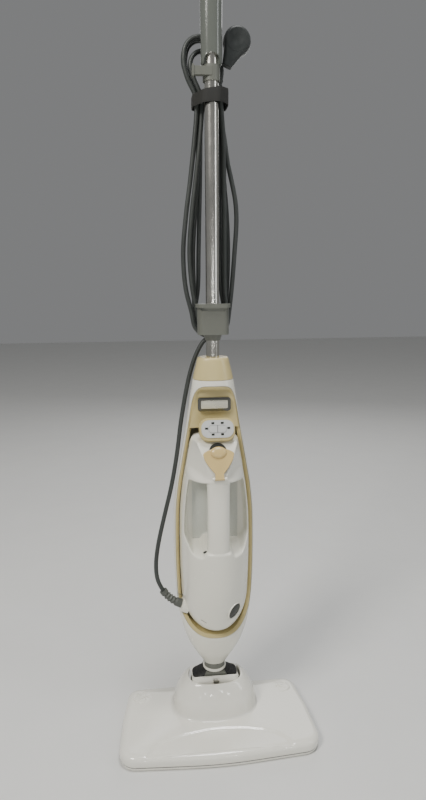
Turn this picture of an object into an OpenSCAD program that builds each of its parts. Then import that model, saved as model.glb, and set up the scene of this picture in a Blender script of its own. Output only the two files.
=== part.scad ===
// Stick steam mop with a detachable hand-held steam unit.
// Origin: centre of the mop head's footprint, on the floor. +Z up, front towards -Y, millimetres.
// Most of the upright is drawn about the pole's axis, with "reach" measured from it towards the front.

/* [Mop head] */
// Width of the mop head
head_w = 304; // [296:2:312]
// Depth of the mop head, front to back
head_d = 162; // [158:1:168]
// Height of the head's top edge above the floor
head_edge_z = 20; // [18:0.5:22]
// Wall of the moulded covers
wall = 2.4; // [2:0.1:2.6]

/* [Swivel joint] */
// Distance from the head's front edge to the pole's axis
pole_from_front = 110; // [108:1:112]
// Height of the tilt axis, which runs left to right
tilt_z = 52; // [51:0.5:53]
// Height of the roll axis, which runs front to back
roll_z = 80; // [79:0.5:81]
// Radius of the tilt pins
tilt_pin_r = 4; // [3.5:0.1:4.5]
// Radius of the roll pin
roll_pin_r = 3.2; // [3:0.1:3.5]

/* [Cradle] */
// Half width of the cradle at its widest
cradle_half_w = 61.5; // [61:0.5:62]
// Height of the cradle's lower end
cradle_z0 = 107; // [106:1:108]
// Height at which the white cradle meets the beige collar
cradle_z1 = 562; // [560:1:564]
// Height of the beige collar's top
collar_z1 = 594; // [592:1:598]

/* [Hand-held unit] */
// Height of the hand-held unit's lower end
unit_z0 = 175.5; // [175:0.5:177]
// Height of the hand-held unit's shoulders
unit_z1 = 484; // [482:1:486]
// Reach of the handle bar's front
handle_reach = 77; // [75:1:78]
// Width of the handle bar
handle_w = 33; // [30:1:34]
// Height of the control pod's centre
pod_z = 500; // [499:0.5:501]

/* [Pole and grip] */
// Outside diameter of the pole
pole_d = 19; // [18:0.5:19.5]
// Height of the grip's lower tips
grip_z0 = 980; // [978:1:984]
// Height of the grip's top
grip_z1 = 1165; // [1150:5:1180]

/* [Mains lead] */
// Diameter of the mains lead
cord_d = 6.5; // [6:0.1:7]
// Diameter of the mains plug
plug_d = 37; // [36:0.5:39]

/* [Hidden] */

$fn = 48;
slack = 0.3;
running = 0.05;

white = [0.93, 0.92, 0.86];
beige = [0.80, 0.73, 0.52];
gold = [0.78, 0.66, 0.42];
mid_grey = [0.50, 0.51, 0.48];
pale_grey = [0.72, 0.73, 0.72];
charcoal = [0.20, 0.22, 0.21];
black = [0.08, 0.08, 0.08];
steel = [0.75, 0.76, 0.74];
brass = [0.75, 0.62, 0.30];

half_w = head_w / 2;
half_d = head_d / 2;
pole_y = pole_from_front - half_d;
pole_r = pole_d / 2;

// ---- Numbers and curves ----

function lerp(a, b, t) = a + (b - a) * t;
function clamp01(t) = min(1, max(0, t));
function ease(t) = let (c = clamp01(t)) c * c * (3 - 2 * c);
function unit(v) = v / norm(v);
function power(v, e) = pow(max(0, v), e);

// Slope at entry i of a [[position, value], ...] table
function slope(t, i) =
    let (a = max(0, i - 1), b = min(len(t) - 1, i + 1)) (t[b][1] - t[a][1]) / (t[b][0] - t[a][0]);

// Smooth curve through a table, held level beyond its ends
function curve(t, x) =
    x <= t[0][0] ? t[0][1] :
    x >= t[len(t) - 1][0] ? t[len(t) - 1][1] :
    let (
        i = max([for (k = [0 : len(t) - 2]) if (t[k][0] <= x) k]),
        h = t[i + 1][0] - t[i][0],
        s = (x - t[i][0]) / h
    )
    t[i][1] * (1 + 2 * s) * (1 - s) * (1 - s) + slope(t, i) * h * s * (1 - s) * (1 - s)
    + t[i + 1][1] * s * s * (3 - 2 * s) + slope(t, i + 1) * h * s * s * (s - 1);

// Height of a rounded arch over a half width of 1
function arch(x, n) = power(1 - power(abs(x), n), 1 / n);

// Corner i of an outline of [x, y, radius] points, as an arc
function corner(p, i, n) =
    let (
        m = len(p),
        b = [p[i][0], p[i][1]],
        a = p[(i + m - 1) % m],
        c = p[(i + 1) % m],
        u = unit([a[0], a[1]] - b),
        v = unit([c[0], c[1]] - b),
        half = acos(u * v) / 2,
        centre = b + unit(u + v) * p[i][2] / sin(half),
        p0 = b + u * p[i][2] / tan(half) - centre,
        p1 = b + v * p[i][2] / tan(half) - centre,
        a0 = atan2(p0[1], p0[0]),
        sweep = (atan2(p1[1], p1[0]) - a0 + 900) % 360 - 180
    )
    [for (k = [0 : n]) centre + p[i][2] * [cos(a0 + sweep * k / n), sin(a0 + sweep * k / n)]];

function rounded(p, n = 6) = [for (i = [0 : len(p) - 1]) each corner(p, i, n)];

// The same loop with no step longer than the one given
function stepped(loop, step) = [
    for (i = [0 : len(loop) - 1])
        let (a = loop[i], b = loop[(i + 1) % len(loop)], n = ceil(norm(b - a) / step))
        for (k = [0 : n - 1]) lerp(a, b, k / n)
];

// A smooth anticlockwise loop moved inwards
function shrink(loop, d) = [
    for (i = [0 : len(loop) - 1])
        let (m = len(loop), t = unit(loop[(i + 1) % m] - loop[(i + m - 1) % m]))
        loop[i] + d * [-t[1], t[0]]
];

function raise(loop, z) = [for (p = loop) [p[0], p[1], z]];

// ---- Solids from rings of points ----

function quads(rows, cols, last) = [
    for (i = [0 : last], j = [0 : cols - 1])
        let (
            a = i * cols + j,
            b = i * cols + (j + 1) % cols,
            c = ((i + 1) % rows) * cols + (j + 1) % cols,
            d = ((i + 1) % rows) * cols + j
        )
        each [[a, c, b], [a, d, c]]
];

// Solid through rings of equal length, with flat ends; rings run anticlockwise seen from the far end
module loft(rings) {
    n = len(rings[0]);
    m = len(rings);
    first = [for (j = [0 : n - 1]) j];
    final = [for (j = [n - 1 : -1 : 0]) (m - 1) * n + j];
    polyhedron([for (r = rings) each r], concat([first, final], quads(m, n, m - 2)));
}

// Solid ring through sections of equal length
module loft_ring(rings) {
    n = len(rings[0]);
    m = len(rings);
    polyhedron([for (r = rings) each r], quads(m, n, m - 1));
}

// Round bar along a route of points, of one diameter or of one for each point
module sweep(route, d, sides = 10) {
    last = len(route) - 1;
    function heading(i) = unit(route[min(last, i + 1)] - route[max(0, i - 1)]);
    function side(i) = unit(cross(heading(i), [0, 1, 0]));
    loft([
        for (i = [0 : last])
            let (u = side(i), v = cross(heading(i), u), r = (is_list(d) ? d[i] : d) / 2)
            [for (k = [0 : sides - 1]) route[i] + r * (cos(k * 360 / sides) * u + sin(k * 360 / sides) * v)]
    ]);
}

// Children drawn in the XY plane, stood up to face the front at a reach and height, leaning back by tilt
module facing(reach, z, tilt = 0) {
    translate([0, pole_y - reach, z]) rotate([90 - tilt, 0, 0]) children();
}

module pill(w, h, r, t) {
    linear_extrude(t) polygon(rounded([[w/2, -h/2, r], [w/2, h/2, r], [-w/2, h/2, r], [-w/2, -h/2, r]], 8));
}

module bar_x(r, x0, x1, y, z) {
    translate([x0, y, z]) rotate([0, 90, 0]) cylinder(r = r, h = x1 - x0);
}

// Bar along Y between two reaches
module bar_y(r, reach0, reach1, x, z) {
    translate([x, pole_y - reach1, z]) rotate([-90, 0, 0]) cylinder(r = r, h = reach1 - reach0);
}

module screw(head_r, shank_r, length) {
    difference() {
        union() {
            cylinder(r = head_r, h = 2);
            cylinder(r = shank_r, h = length);
        }
        translate([-head_r, -0.4, -0.01]) cube([2 * head_r, 0.8, 0.8]);
    }
}

// ---- Outline of the mop head ----

bow = 1.9;
head_outline = stepped(rounded([
    [0, -half_d - bow, 700],
    [half_w + 1.1, -half_d + 9, 27],
    [half_w - 3, 10, 300],
    [half_w - 13, half_d, 20],
    [13 - half_w, half_d, 20],
    [3 - half_w, 10, 300],
    [-half_w - 1.1, -half_d + 9, 27]
], 6), 16);

// Point of a dome level in the direction of an outline point; level = [half width, front, back, height]
dome_squareness = 3;
function dome_point(p, level) =
    let (
        a = atan2(p[1] - pole_y, p[0]),
        c = power(abs(cos(a)) / level[0], dome_squareness),
        s = power(abs(sin(a)) / (sin(a) < 0 ? level[1] : level[2]), dome_squareness),
        r = power(c + s, -1 / dome_squareness)
    )
    [r * cos(a), pole_y + r * sin(a)];
function dome_ring(level) = [for (p = head_outline) let (q = dome_point(p, level)) [q[0], q[1], level[3]]];
function deck_ring(level, t, z) =
    [for (p = head_outline) let (q = lerp(dome_point(p, level), p, t)) [q[0], q[1], z]];

dome_top = 80;
dome_outside = [
    [41.5, 28, 28, dome_top], [43.5, 30, 30, dome_top], [46.5, 32, 33, dome_top - 3],
    [53, 36, 36, 68], [60, 40, 40, 53], [64.5, 42.5, 43, 39], [67.5, 45, 45, 31.5]
];
dome_foot = [73, 50, 47, 28.5];
dome_inside = [
    [64, 41.5, 43, 25], [61.5, 39.8, 41, 38], [57, 37, 38, 52], [50, 33, 33.5, 67], [42.5, 28.8, 29, 77]
];

// ---- Shape of the cradle and of the hand-held unit ----

cradle_widths = [
    [cradle_z0, 18], [120, 26], [134, 34.5], [150, 42.5], [177, 51], [200, 55.5], [227, 58.7], [260, 60.8],
    [300, cradle_half_w], [340, cradle_half_w - 0.3], [370, 60], [405, 56.3], [420, 53.8], [450, 48.5],
    [492, 41], [520, 36.6], [550, 31.7], [cradle_z1, 29.6], [collar_z1, 22]
];
cradle_fronts = [
    [cradle_z0, 17.5], [134, 31], [168, 43], [200, 41], [250, 30], [330, 23], [400, 22], [480, 24],
    [550, 24.5], [cradle_z1, 23.5], [collar_z1, 19]
];
cradle_backs = [
    [cradle_z0, 17.5], [134, 28], [177, 39], [227, 45], [290, 47.5], [370, 47.5], [450, 42], [520, 33],
    [cradle_z1, 26], [collar_z1, 19]
];
opening_z0 = 168;
opening_z1 = 554;
bowl_z = 250;
arch_z = 500;
rim = 2.5;
squareness = 2.2;

function cradle_w(z) = curve(cradle_widths, z);
function opening_w(z) =
    z < bowl_z ? (cradle_w(bowl_z) - rim) * arch((bowl_z - z) / (bowl_z - opening_z0), 2.2) :
    z > arch_z ? (cradle_w(z) - rim) * arch((z - arch_z) / (opening_z1 - arch_z), 5) :
    cradle_w(z) - rim;
function cradle_reach(x, z) = curve(cradle_fronts, z) * arch(x / cradle_w(z), squareness);

// Ring at height z with its own half width, front reach and back reach
function ring_at(z, w, front, back, n = 48) = [
    for (k = [0 : n - 1])
        let (a = 360 * k / n, c = cos(a), s = sin(a))
        [
            w * sign(c) * power(abs(c), 2 / squareness),
            pole_y + (s < 0 ? front : back) * sign(s) * power(abs(s), 2 / squareness),
            z
        ]
];

// Bevel along the inner edge of a parting line
lip = 0.3;
// Half ring with a wall: side is 1 for the half behind the pole's axis, -1 for the half in front of it
function half_arc(w, depth, side, n) = [
    for (k = [0 : n])
        let (a = 180 * k / n)
        [w * sign(cos(a)) * power(abs(cos(a)), 2 / squareness),
         side * depth * power(sin(a), 2 / squareness)]
];
function turned(list) = [for (i = [len(list) - 1 : -1 : 0]) list[i]];
function half_shell_ring(z, w, depth, t, side, n = 24) =
    let (
        outer = half_arc(w, depth, side, n),
        inner = [for (p = half_arc(w - t, depth - t, side, n)) [p[0], side * max(lip, abs(p[1]))]],
        loop = side > 0 ? concat(outer, turned(inner)) : concat(inner, turned(outer))
    )
    [for (p = loop) [p[0], pole_y + p[1] + side * 0.02, z]];

unit_fronts = [
    [unit_z0, 38], [190, 53], [215, 64], [250, 71.5], [290, 75], [330, 76], [400, 76], [430, 75], [455, 67],
    [unit_z1, 47]
];
unit_backs = [[unit_z0, 12], [200, 26], [250, 32], [400, 32], [450, 27], [unit_z1, 18]];
unit_gap = 6.2;
grip_gap_z0 = 315;
grip_gap_z1 = 427;
grip_floor = 24;

shoulder = 16;
function unit_w(z) =
    (cradle_w(max(z, bowl_z)) - rim - unit_gap) *
    (z < bowl_z
        ? arch((bowl_z - z) / (bowl_z - unit_z0), 2.2)
        : arch(max(0, z - unit_z1 + shoulder) / shoulder, 2.6));
// How far the front of the hand-held unit may reach where the fingers go behind the handle bar
function finger_limit(z) =
    lerp(90, grip_floor, ease((z - grip_gap_z0) / 14) * ease((grip_gap_z1 - z) / 8));
function unit_reach(x, z) = curve(unit_fronts, z) * arch(x / unit_w(z), 2);

unit_heights = concat(
    [for (k = [0 : 7]) lerp(unit_z0 + 0.6, bowl_z, 1 - cos(k * 90 / 7))],
    [for (z = [270 : 14 : 312]) z], [315, 319, 323, 327, 331, 336, 342, 348],
    [for (z = [365 : 18 : 401]) z], [417, 420, 423, 427, 436, 448, 460, 468, 474, 479, 482, unit_z1 - 0.4]
);

// ---- Mop head ----

module sole_plate() {
    color(white) difference() {
        loft([
            raise(shrink(head_outline, 4.5), 0), raise(shrink(head_outline, 2.2), 2.5),
            raise(shrink(head_outline, 1.6), 6)
        ]);
        for (x = [-1, 1], y = [-1, 1]) translate([x * 75 - 52, y * 38 - 9, -1]) cube([104, 18, 2]);
        for (x = [-2.5 : 2.5]) translate([x * 40, 0, -1]) cylinder(r = 2, h = 8);
        for (p = screw_places) translate([p[0], p[1], -1]) cylinder(r = 4, h = 4);
        for (p = screw_places) translate([p[0], p[1], -1]) cylinder(r = 1.8, h = 8);
    }
}

screw_places = [[-130, -55], [130, -55], [-122, 62], [122, 62], [-8, -66], [8, 66]];
hook_face_z = 0.5;

module hook_strips() {
    color(charcoal) for (x = [-1, 1], y = [-1, 1])
        translate([x * 75 - 51.5, y * 38 - 8.5, hook_face_z]) cube([103, 17, 1 - hook_face_z]);
}

module head_screws() {
    color(steel) for (p = screw_places) translate([p[0], p[1], 1]) screw(3.6, 1.5, 14);
}

module head_gasket() {
    color(black) loft_ring([
        raise(shrink(head_outline, 3), 7.5), raise(shrink(head_outline, 6), 7.5),
        raise(shrink(head_outline, 6), 6), raise(shrink(head_outline, 3), 6)
    ]);
}

module head_cover() {
    color(white) difference() {
        loft_ring(concat(
            [for (l = turned(dome_outside)) dome_ring(l)],
            [for (l = turned(dome_inside)) dome_ring(l)],
            [
                deck_ring(dome_foot, 0.5, head_edge_z + 4), raise(shrink(head_outline, 7), head_edge_z + 1),
                raise(shrink(head_outline, wall), head_edge_z - 4), raise(shrink(head_outline, wall), 7.5),
                raise(head_outline, 7.5), raise(head_outline, head_edge_z - 4),
                raise(shrink(head_outline, 0.6), head_edge_z - 0.8),
                raise(shrink(head_outline, 2.6), head_edge_z + 1.8),
                raise(shrink(head_outline, 7), head_edge_z + 3.8),
                deck_ring(dome_foot, 0.6, head_edge_z + 6.2),
                dome_ring(dome_foot)
            ]
        ));
        // The neck leans back through this slot
        translate([-38.6, pole_y, 27.5]) cube([77.2, 60, 60]);
        // Shallow front panel
        translate([0, 0, head_edge_z + 4.6]) linear_extrude(10) polygon(rounded([
            [-98, -half_d + 7.5, 2], [98, -half_d + 7.5, 2], [92, -half_d + 26, 6], [60, -half_d + 42, 40],
            [0, -half_d + 49, 160], [-60, -half_d + 44, 60], [-88, -half_d + 24, 10]
        ], 6));
        for (x = [-1, 1]) translate([x * 112, half_d - 27, 20]) gripper_shape(1, 12);
    }
}

// Oval seat of a cloth gripper, stretched along the head
module gripper_shape(scale_by, h) {
    linear_extrude(h) polygon([for (a = [0 : 10 : 350]) scale_by * [20 * cos(a), 14 * sin(a)]]);
}

module cloth_gripper(side) {
    color(white) translate([side * 112, half_d - 27, 20]) difference() {
        gripper_shape(0.985, 4.6);
        for (a = [35, 125]) rotate(a) translate([-9, -0.6, 2]) cube([18, 1.2, 4]);
    }
}
module cloth_gripper_left() { cloth_gripper(-1); }
module cloth_gripper_right() { cloth_gripper(1); }

module steam_chamber() {
    color(pale_grey) difference() {
        translate([-104, -22, 6]) cube([208, 44, 4]);
        translate([-101, -19, 5]) cube([202, 38, 3]);
        translate([0, -6, 0]) cylinder(r = 3, h = 20);
        translate([-46, 8, 5.9]) cube([92, 40, 20]);
    }
}

module head_hose() {
    color(mid_grey) translate([0, -6, 8]) difference() {
        cylinder(r = 3, h = 10);
        translate([0, 0, -1]) cylinder(r = 1.5, h = 12);
    }
}

module pivot_bracket() {
    color(mid_grey) difference() {
        union() {
            translate([-45, pole_y - 16, 6]) cube([90, 32, 3]);
            for (x = [-1, 1]) translate([x * 41.5 - 3, pole_y - 9, 6]) cube([6, 18, tilt_z - 6]);
            for (x = [-1, 1]) bar_x(9, x * 41.5 - 3, x * 41.5 + 3, pole_y, tilt_z);
        }
        for (x = [-1, 1]) bar_x(tilt_pin_r, x * 41.5 - 4, x * 41.5 + 4, pole_y, tilt_z);
    }
}

module tilt_pins() {
    color(steel) for (x = [0, 1]) mirror([x, 0, 0]) bar_x(tilt_pin_r, 32.2, 45.5, pole_y, tilt_z);
}

// ---- Yoke, which tilts in the head ----

yoke_half_w = 37;
yoke_lip_z = 88;
drum_r = 28.5;
cheek_in = 18;
cheek_out = 22.5;

module yoke() {
    color(white) difference() {
        union() {
            bar_x(drum_r, -yoke_half_w, yoke_half_w, pole_y, tilt_z);
            translate([0, pole_y, tilt_z]) linear_extrude(yoke_lip_z - tilt_z) polygon(rounded([
                [yoke_half_w, -cheek_out, 8], [yoke_half_w, cheek_out, 8],
                [-yoke_half_w, cheek_out, 8], [-yoke_half_w, -cheek_out, 8]
            ]));
        }
        translate([-31, pole_y - cheek_in, roll_z - 24]) cube([62, 2 * cheek_in, 60]);
        // Side cheeks stay lower than the front and back walls
        for (x = [-1, 1]) translate([x * 35 - 5, pole_y - cheek_in, 82]) cube([10, 2 * cheek_in, 20]);
        for (x = [-1, 1]) bar_x(tilt_pin_r + running, x * 35 - 5, x * 35 + 5, pole_y, tilt_z);
        bar_y(roll_pin_r, -cheek_out - 1, cheek_out + 1, 0, roll_z);
        // Notch over the front end of the roll pin
        translate([-5, pole_y - cheek_out - 1, roll_z + 1]) cube([10, 3, 20]);
    }
}

module roll_pin() {
    color(steel) union() {
        bar_y(roll_pin_r, -cheek_out, cheek_out - 1.6, 0, roll_z);
        bar_y(4.4, cheek_out, cheek_out + 1.6, 0, roll_z);
        bar_y(roll_pin_r, cheek_out - 2, cheek_out + 0.1, 0, roll_z);
    }
}

// ---- Neck and cradle, which roll on the yoke ----

neck_half = cheek_in - slack;
module neck_solid() {
    intersection() {
        bar_y(19, -neck_half, neck_half, 0, roll_z);
        translate([-30, pole_y - neck_half, roll_z - 20]) cube([60, 2 * neck_half, 32.6]);
    }
    intersection() {
        translate([0, pole_y, roll_z]) rotate_extrude() polygon([
            [0, -4], [23.5, -4], [22.5, 0], [18.5, 7], [16.3, 13],
            [16.3, 26], [14.6, 26], [14.6, 36], [0, 36]
        ]);
        translate([-30, pole_y - neck_half, roll_z - 10]) cube([60, 2 * neck_half, 60]);
    }
}

module swivel_neck() {
    color(mid_grey) difference() {
        neck_solid();
        bar_y(roll_pin_r + running, -30, 30, 0, roll_z);
        translate([0, pole_y, roll_z + 8]) cylinder(r = 11, h = 40);
    }
}

module neck_boot() {
    color(black) difference() {
        intersection() {
            translate([0, pole_y, roll_z]) rotate_extrude() polygon([
                [18, -3], [29, -3], [28.5, 2], [21, 10], [16, 10]
            ]);
            translate([-40, pole_y - neck_half, roll_z - 10]) cube([80, 2 * neck_half, 60]);
        }
        neck_solid();
    }
}

module bottom_ring() {
    color(white) translate([0, pole_y, 0]) rotate_extrude() polygon([
        [16.4, 93], [17.6, 93], [18.4, 94.2], [18.4, 96.2], [17.6, 97.4], [16.4, 97.4]
    ]);
}

cradle_heights = [for (k = [0 : 22]) lerp(cradle_z0, cradle_z1, k / 22)];

module cradle_rear_shell() {
    color(white) loft([
        for (z = cradle_heights)
            half_shell_ring(z, cradle_w(z), curve(cradle_backs, z), wall, 1)
    ]);
}

// Outline of the cradle's opening, anticlockwise in the front view from its lowest point
frame_steps = 36;
opening_half = [
    for (k = [0 : frame_steps])
        let (z = lerp(opening_z0, opening_z1, (1 - cos(180 * k / frame_steps)) / 2)) [opening_w(z), z]
];
function flip_x(p) = [-p[0], p[1]];
opening_loop = concat(opening_half, [for (k = [frame_steps - 1 : -1 : 1]) flip_x(opening_half[k])]);

// Outline of the front frame's foot, seam and head, matched point for point to the opening
foot_part = 0.1;
function seam_at(s) =
    s < foot_part ? [cradle_w(cradle_z0) * s / foot_part, cradle_z0] :
    s > 1 - foot_part ? [cradle_w(cradle_z1) * (1 - s) / foot_part, cradle_z1] :
    let (z = lerp(cradle_z0, cradle_z1, (s - foot_part) / (1 - 2 * foot_part))) [cradle_w(z), z];
seam_half = [for (k = [0 : frame_steps]) seam_at(k / frame_steps)];
seam_loop = concat(seam_half, [for (k = [frame_steps - 1 : -1 : 1]) flip_x(seam_half[k])]);

// Point of the front frame, part q of the way from the seam to the opening
function on_frame(i, q, deep) =
    let (p = lerp(seam_loop[i], opening_loop[i], q))
    [p[0] * (1 - (1 - q) * deep / cradle_w(p[1])), pole_y - max(0, cradle_reach(p[0], p[1]) - deep), p[1]];
function frame_section(i) = concat(
    [for (q = [0 : 0.25 : 1]) on_frame(i, q, wall)],
    [for (q = [1 : -0.25 : 0]) on_frame(i, q, 0)]
);

module cradle_front_frame() {
    color(white) difference() {
        loft_ring([for (i = [0 : len(opening_loop) - 1]) frame_section(i)]);
        boss_notch();
    }
}

liner_w = 5.4;
panel_z0 = 492;
panel_reach = 12;
liner_out = shrink(opening_loop, 0.4);
liner_in = shrink(opening_loop, liner_w);
function liner_section(i) =
    let (a = liner_out[i], b = liner_in[i], y = pole_y - cradle_reach(opening_loop[i][0], opening_loop[i][1]))
    let (back = max(y + 11, pole_y - panel_reach + 3))
    [[a[0], back, a[1]], [b[0], back, b[1]], [b[0], y + 3.5, b[1]], [a[0], y + 1, a[1]]];

module dock_liner() {
    color(beige) difference() {
        union() {
            loft_ring([for (i = [0 : len(opening_loop) - 1]) liner_section(i)]);
            facing(panel_reach - 3, 0) linear_extrude(3) polygon(concat(
                [for (z = [panel_z0 : 8 : 546]) [opening_w(z) - 3, z]],
                [for (z = [540 : -8 : panel_z0]) [3 - opening_w(z), z]]
            ));
        }
        boss_notch();
    }
}

module top_collar() {
    color(beige) difference() {
        loft([
            for (z = [cradle_z1, 572, 582, collar_z1 - 1.5, collar_z1])
                let (in = z == collar_z1 ? 1.2 : 0)
                ring_at(z, cradle_w(z) - in, curve(cradle_fronts, z) - in, curve(cradle_backs, z) - in, 40)
        ]);
        translate([0, pole_y, 500]) cylinder(r = pole_r, h = 200);
        translate([0, pole_y, 500]) cylinder(r = 15, h = collar_z1 - 512);
    }
}

badge_z = 527;
module badge_frame() {
    color(steel) facing(panel_reach, badge_z) difference() {
        union() {
            pill(48, 20, 4, 5);
            pill(45.5, 17.5, 3.4, 7);
        }
        translate([0, 0, -1]) pill(39.4, 12.4, 1.6, 20);
    }
}

// Key plate in the badge frame, with room behind it to be pressed in
module release_button() {
    color(white) facing(panel_reach + 2, badge_z) union() {
        pill(38.8, 11.8, 1.4, 4.6);
        pill(36, 9, 1, 5.2);
    }
}

socket_z = 236;
module steam_socket() {
    color(mid_grey) difference() {
        union() {
            bar_y(11, -44, -36, 0, socket_z);
            translate([-14, pole_y + 36, socket_z - 14]) cube([28, 3, 28]);
        }
        bar_y(6, -42, -30, 0, socket_z);
    }
}

module stick_hose() {
    color(mid_grey) sweep([
        [0, pole_y + 40, socket_z - 11], [0, pole_y + 40, 215], [0, pole_y + 36, 195], [0, pole_y + 27, 172],
        [0, pole_y + 16, 152], [0, pole_y + 6, 134], [0, pole_y + 1, 120], [0, pole_y, 104], [0, pole_y, 92]
    ], 7, 10);
}

module cradle_screws() {
    color(steel) for (p = [[-44, 300], [44, 300], [-26, 520], [26, 520], [-26, 165], [26, 165]])
        let (depth = curve(cradle_backs, p[1]) * arch(p[0] / cradle_w(p[1]), squareness))
        translate([p[0], pole_y + depth - 1, p[1]]) rotate([90, 0, 0]) screw(3.2, 1.4, 12);
}

// ---- Pole, hooks and grip ----

pole_z0 = 556;
pole_z1 = 1100;
module pole() {
    color(steel) translate([0, pole_y, pole_z0]) difference() {
        cylinder(r = pole_r, h = pole_z1 - pole_z0);
        translate([0, 0, -1]) cylinder(r = pole_r - 1, h = pole_z1 - pole_z0 + 2);
    }
}

hook_z0 = 627;
hook_z1 = 670;
module lower_cord_hook() {
    color(mid_grey) translate([0, pole_y, 0]) difference() {
        union() {
            // Sleeve on the pole
            translate([0, 0, hook_z0 - 9]) cylinder(r1 = pole_r + 1.5, r2 = pole_r + 4, h = 9);
            translate([0, 0, hook_z0]) cylinder(r = pole_r + 4, h = hook_z1 - hook_z0 - 4);
            // Front shield
            translate([0, 0, hook_z0]) linear_extrude(hook_z1 - hook_z0 - 5) polygon(rounded([
                [23, -4, 2], [20, -19, 7], [-20, -19, 7], [-23, -4, 2]
            ]));
            translate([0, 0, hook_z1 - 5]) linear_extrude(5) polygon(rounded([
                [25, -3, 2], [22.5, -23, 9], [-22.5, -23, 9], [-25, -3, 2]
            ]));
            // Finger behind the pole that holds the loops down
            translate([-6, 0, hook_z0 + 6]) cube([12, hank_back + 4, 5]);
            translate([-6, hank_back + 0.6, hook_z0 - 12]) cube([12, 3.4, 23]);
        }
        translate([0, 0, 500]) cylinder(r = pole_r, h = 300);
        // Hollow under the rim
        translate([0, 0, hook_z1 - 9]) linear_extrude(20) polygon(rounded([
            [21, -12, 1.5], [17.5, -20, 5.5], [-17.5, -20, 5.5], [-21, -12, 1.5]
        ]));
    }
}

upper_hook_z0 = 960;
upper_hook_z1 = 981;
module upper_cord_hook() {
    color(mid_grey) translate([0, pole_y, 0]) difference() {
        union() {
            translate([0, 0, upper_hook_z0]) cylinder(r = pole_r + 2, h = upper_hook_z1 - upper_hook_z0 - 1.5);
            translate([-24, -12, 965.5]) cube([24, 8, 10.5]);
            translate([-26.5, -13, 963.5]) cube([2.5, 10, 14.5]);
        }
        translate([0, 0, 900]) cylinder(r = pole_r + running, h = 200);
    }
}

grip_levels = [
    [grip_z0, 14, 12.5], [grip_z0 + 40, 14.2, 13], [grip_z0 + 85, 14.6, 13.5], [grip_z0 + 120, 15.2, 14.5],
    [grip_z0 + 150, 16.2, 15.5], [grip_z1 - 14, 16.5, 15.5], [grip_z1 - 5, 14.5, 13.5], [grip_z1 - 1, 10, 9.5],
    [grip_z1, 5, 5]
];
function grip_ring(level, side, n = 16) =
    let (outer = half_arc(level[1], level[2], side, n))
    [for (p = side > 0 ? outer : turned(outer)) [p[0], pole_y + p[1] + side * 0.02, level[0]]];

module grip_half(side) {
    difference() {
        loft([for (l = grip_levels) grip_ring(l, side)]);
        translate([0, pole_y, 900]) cylinder(r = pole_r, h = pole_z1 - 900 + 0.5);
    }
}

module grip_rear_shell() {
    color(mid_grey) grip_half(1);
}

module grip_front_shell() {
    color(mid_grey) difference() {
        grip_half(-1);
        // Arched cut-out over the pole
        translate([0, pole_y - 8, grip_z0 - 1]) rotate([90, 0, 0]) linear_extrude(20)
            polygon(rounded([[10.5, -5, 1], [10.5, 14, 10.4], [-10.5, 14, 10.4], [-10.5, -5, 1]]));
    }
}

module grip_screws() {
    color(steel) for (z = [grip_z0 + 50, grip_z0 + 100])
        translate([0, pole_y + 14.2, z]) rotate([90, 0, 0]) screw(2.8, 1.3, 4.4);
}

// ---- Hand-held unit ----

function unit_outer(z, side, n) = side > 0 ?
    half_arc(unit_w(z), curve(unit_backs, z), 1, n) :
    [
        for (p = half_arc(unit_w(z), curve(unit_fronts, z), -1, n))
            [p[0], max(p[1], -finger_limit(z))]
    ];
function unit_inner(z, side, n) =
    let (outer = unit_outer(z, side, n), w = unit_w(z), k = max(0.08, 1 - wall / max(w, wall + 0.2)))
    [for (p = outer)
        [p[0] * k, side * max(0.02, abs(p[1]) - wall * clamp01(abs(p[1]) / 6)) * (k < 0.5 ? k : 1)]];
function unit_ring(z, side, n) =
    let (
        outer = unit_outer(z, side, n),
        inner = unit_inner(z, side, n),
        loop = side > 0 ? concat(outer, turned(inner)) : concat(inner, turned(outer))
    )
    [for (p = loop) [p[0], pole_y + p[1] + side * 0.02, z]];

module unit_front_shell() {
    color(white) loft([for (z = unit_heights) unit_ring(z, -1, 32)]);
}

module unit_rear_shell() {
    rear_heights = [for (k = [0 : 2 : len(unit_heights) - 1]) unit_heights[k]];
    color(white) loft([for (z = concat(rear_heights, [unit_z1 - 0.4])) unit_ring(z, 1, 20)]);
}

module handle_bar() {
    bar_z0 = 296;
    bar_z1 = 440;
    color(white) loft([
        for (k = [0 : 8])
            let (
                t = k / 8,
                z = lerp(bar_z0, bar_z1, t),
                flare = 3 * pow(abs(2 * t - 1), 4),
                w = handle_w / 2 + flare,
                centre = handle_reach - 15 - 2.5 * pow(2 * t - 1, 2)
            )
            [for (a = [0 : 15 : 345]) [w * cos(a), pole_y - centre + 14 * sin(a), z]]
    ]);
}

module water_tank() {
    color([0.80, 0.86, 0.88]) translate([-34, pole_y - 16, 322]) difference() {
        cube([68, 34, 98]);
        translate([2, 2, 2]) cube([64, 30, 94]);
        translate([34, 12, 90]) cylinder(r = 8, h = 20);
    }
}

filler_tilt = 24;
filler_z = 452;
flap_reach = 67;
module filler_neck() {
    color(pale_grey) difference() {
        union() {
            translate([0, pole_y - 4, 418]) cylinder(r = 8, h = filler_z - 408);
            bar_y(7, 4, flap_reach - 6, 0, filler_z);
        }
        translate([0, pole_y - 4, 410]) cylinder(r = 5.8, h = filler_z - 404);
        bar_y(5, 4, flap_reach, 0, filler_z);
    }
}

module pump() {
    color(pale_grey) union() {
        translate([-30, pole_y - 24, 272]) cube([24, 30, 30]);
        translate([-18, pole_y - 9, 300]) cylinder(r = 4, h = 22);
    }
}

module boiler() {
    color(steel) translate([0, pole_y - 30, 200]) union() {
        cylinder(r = 25, h = 58);
        translate([0, 0, 58]) cylinder(r = 9, h = 8);
    }
}

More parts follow.
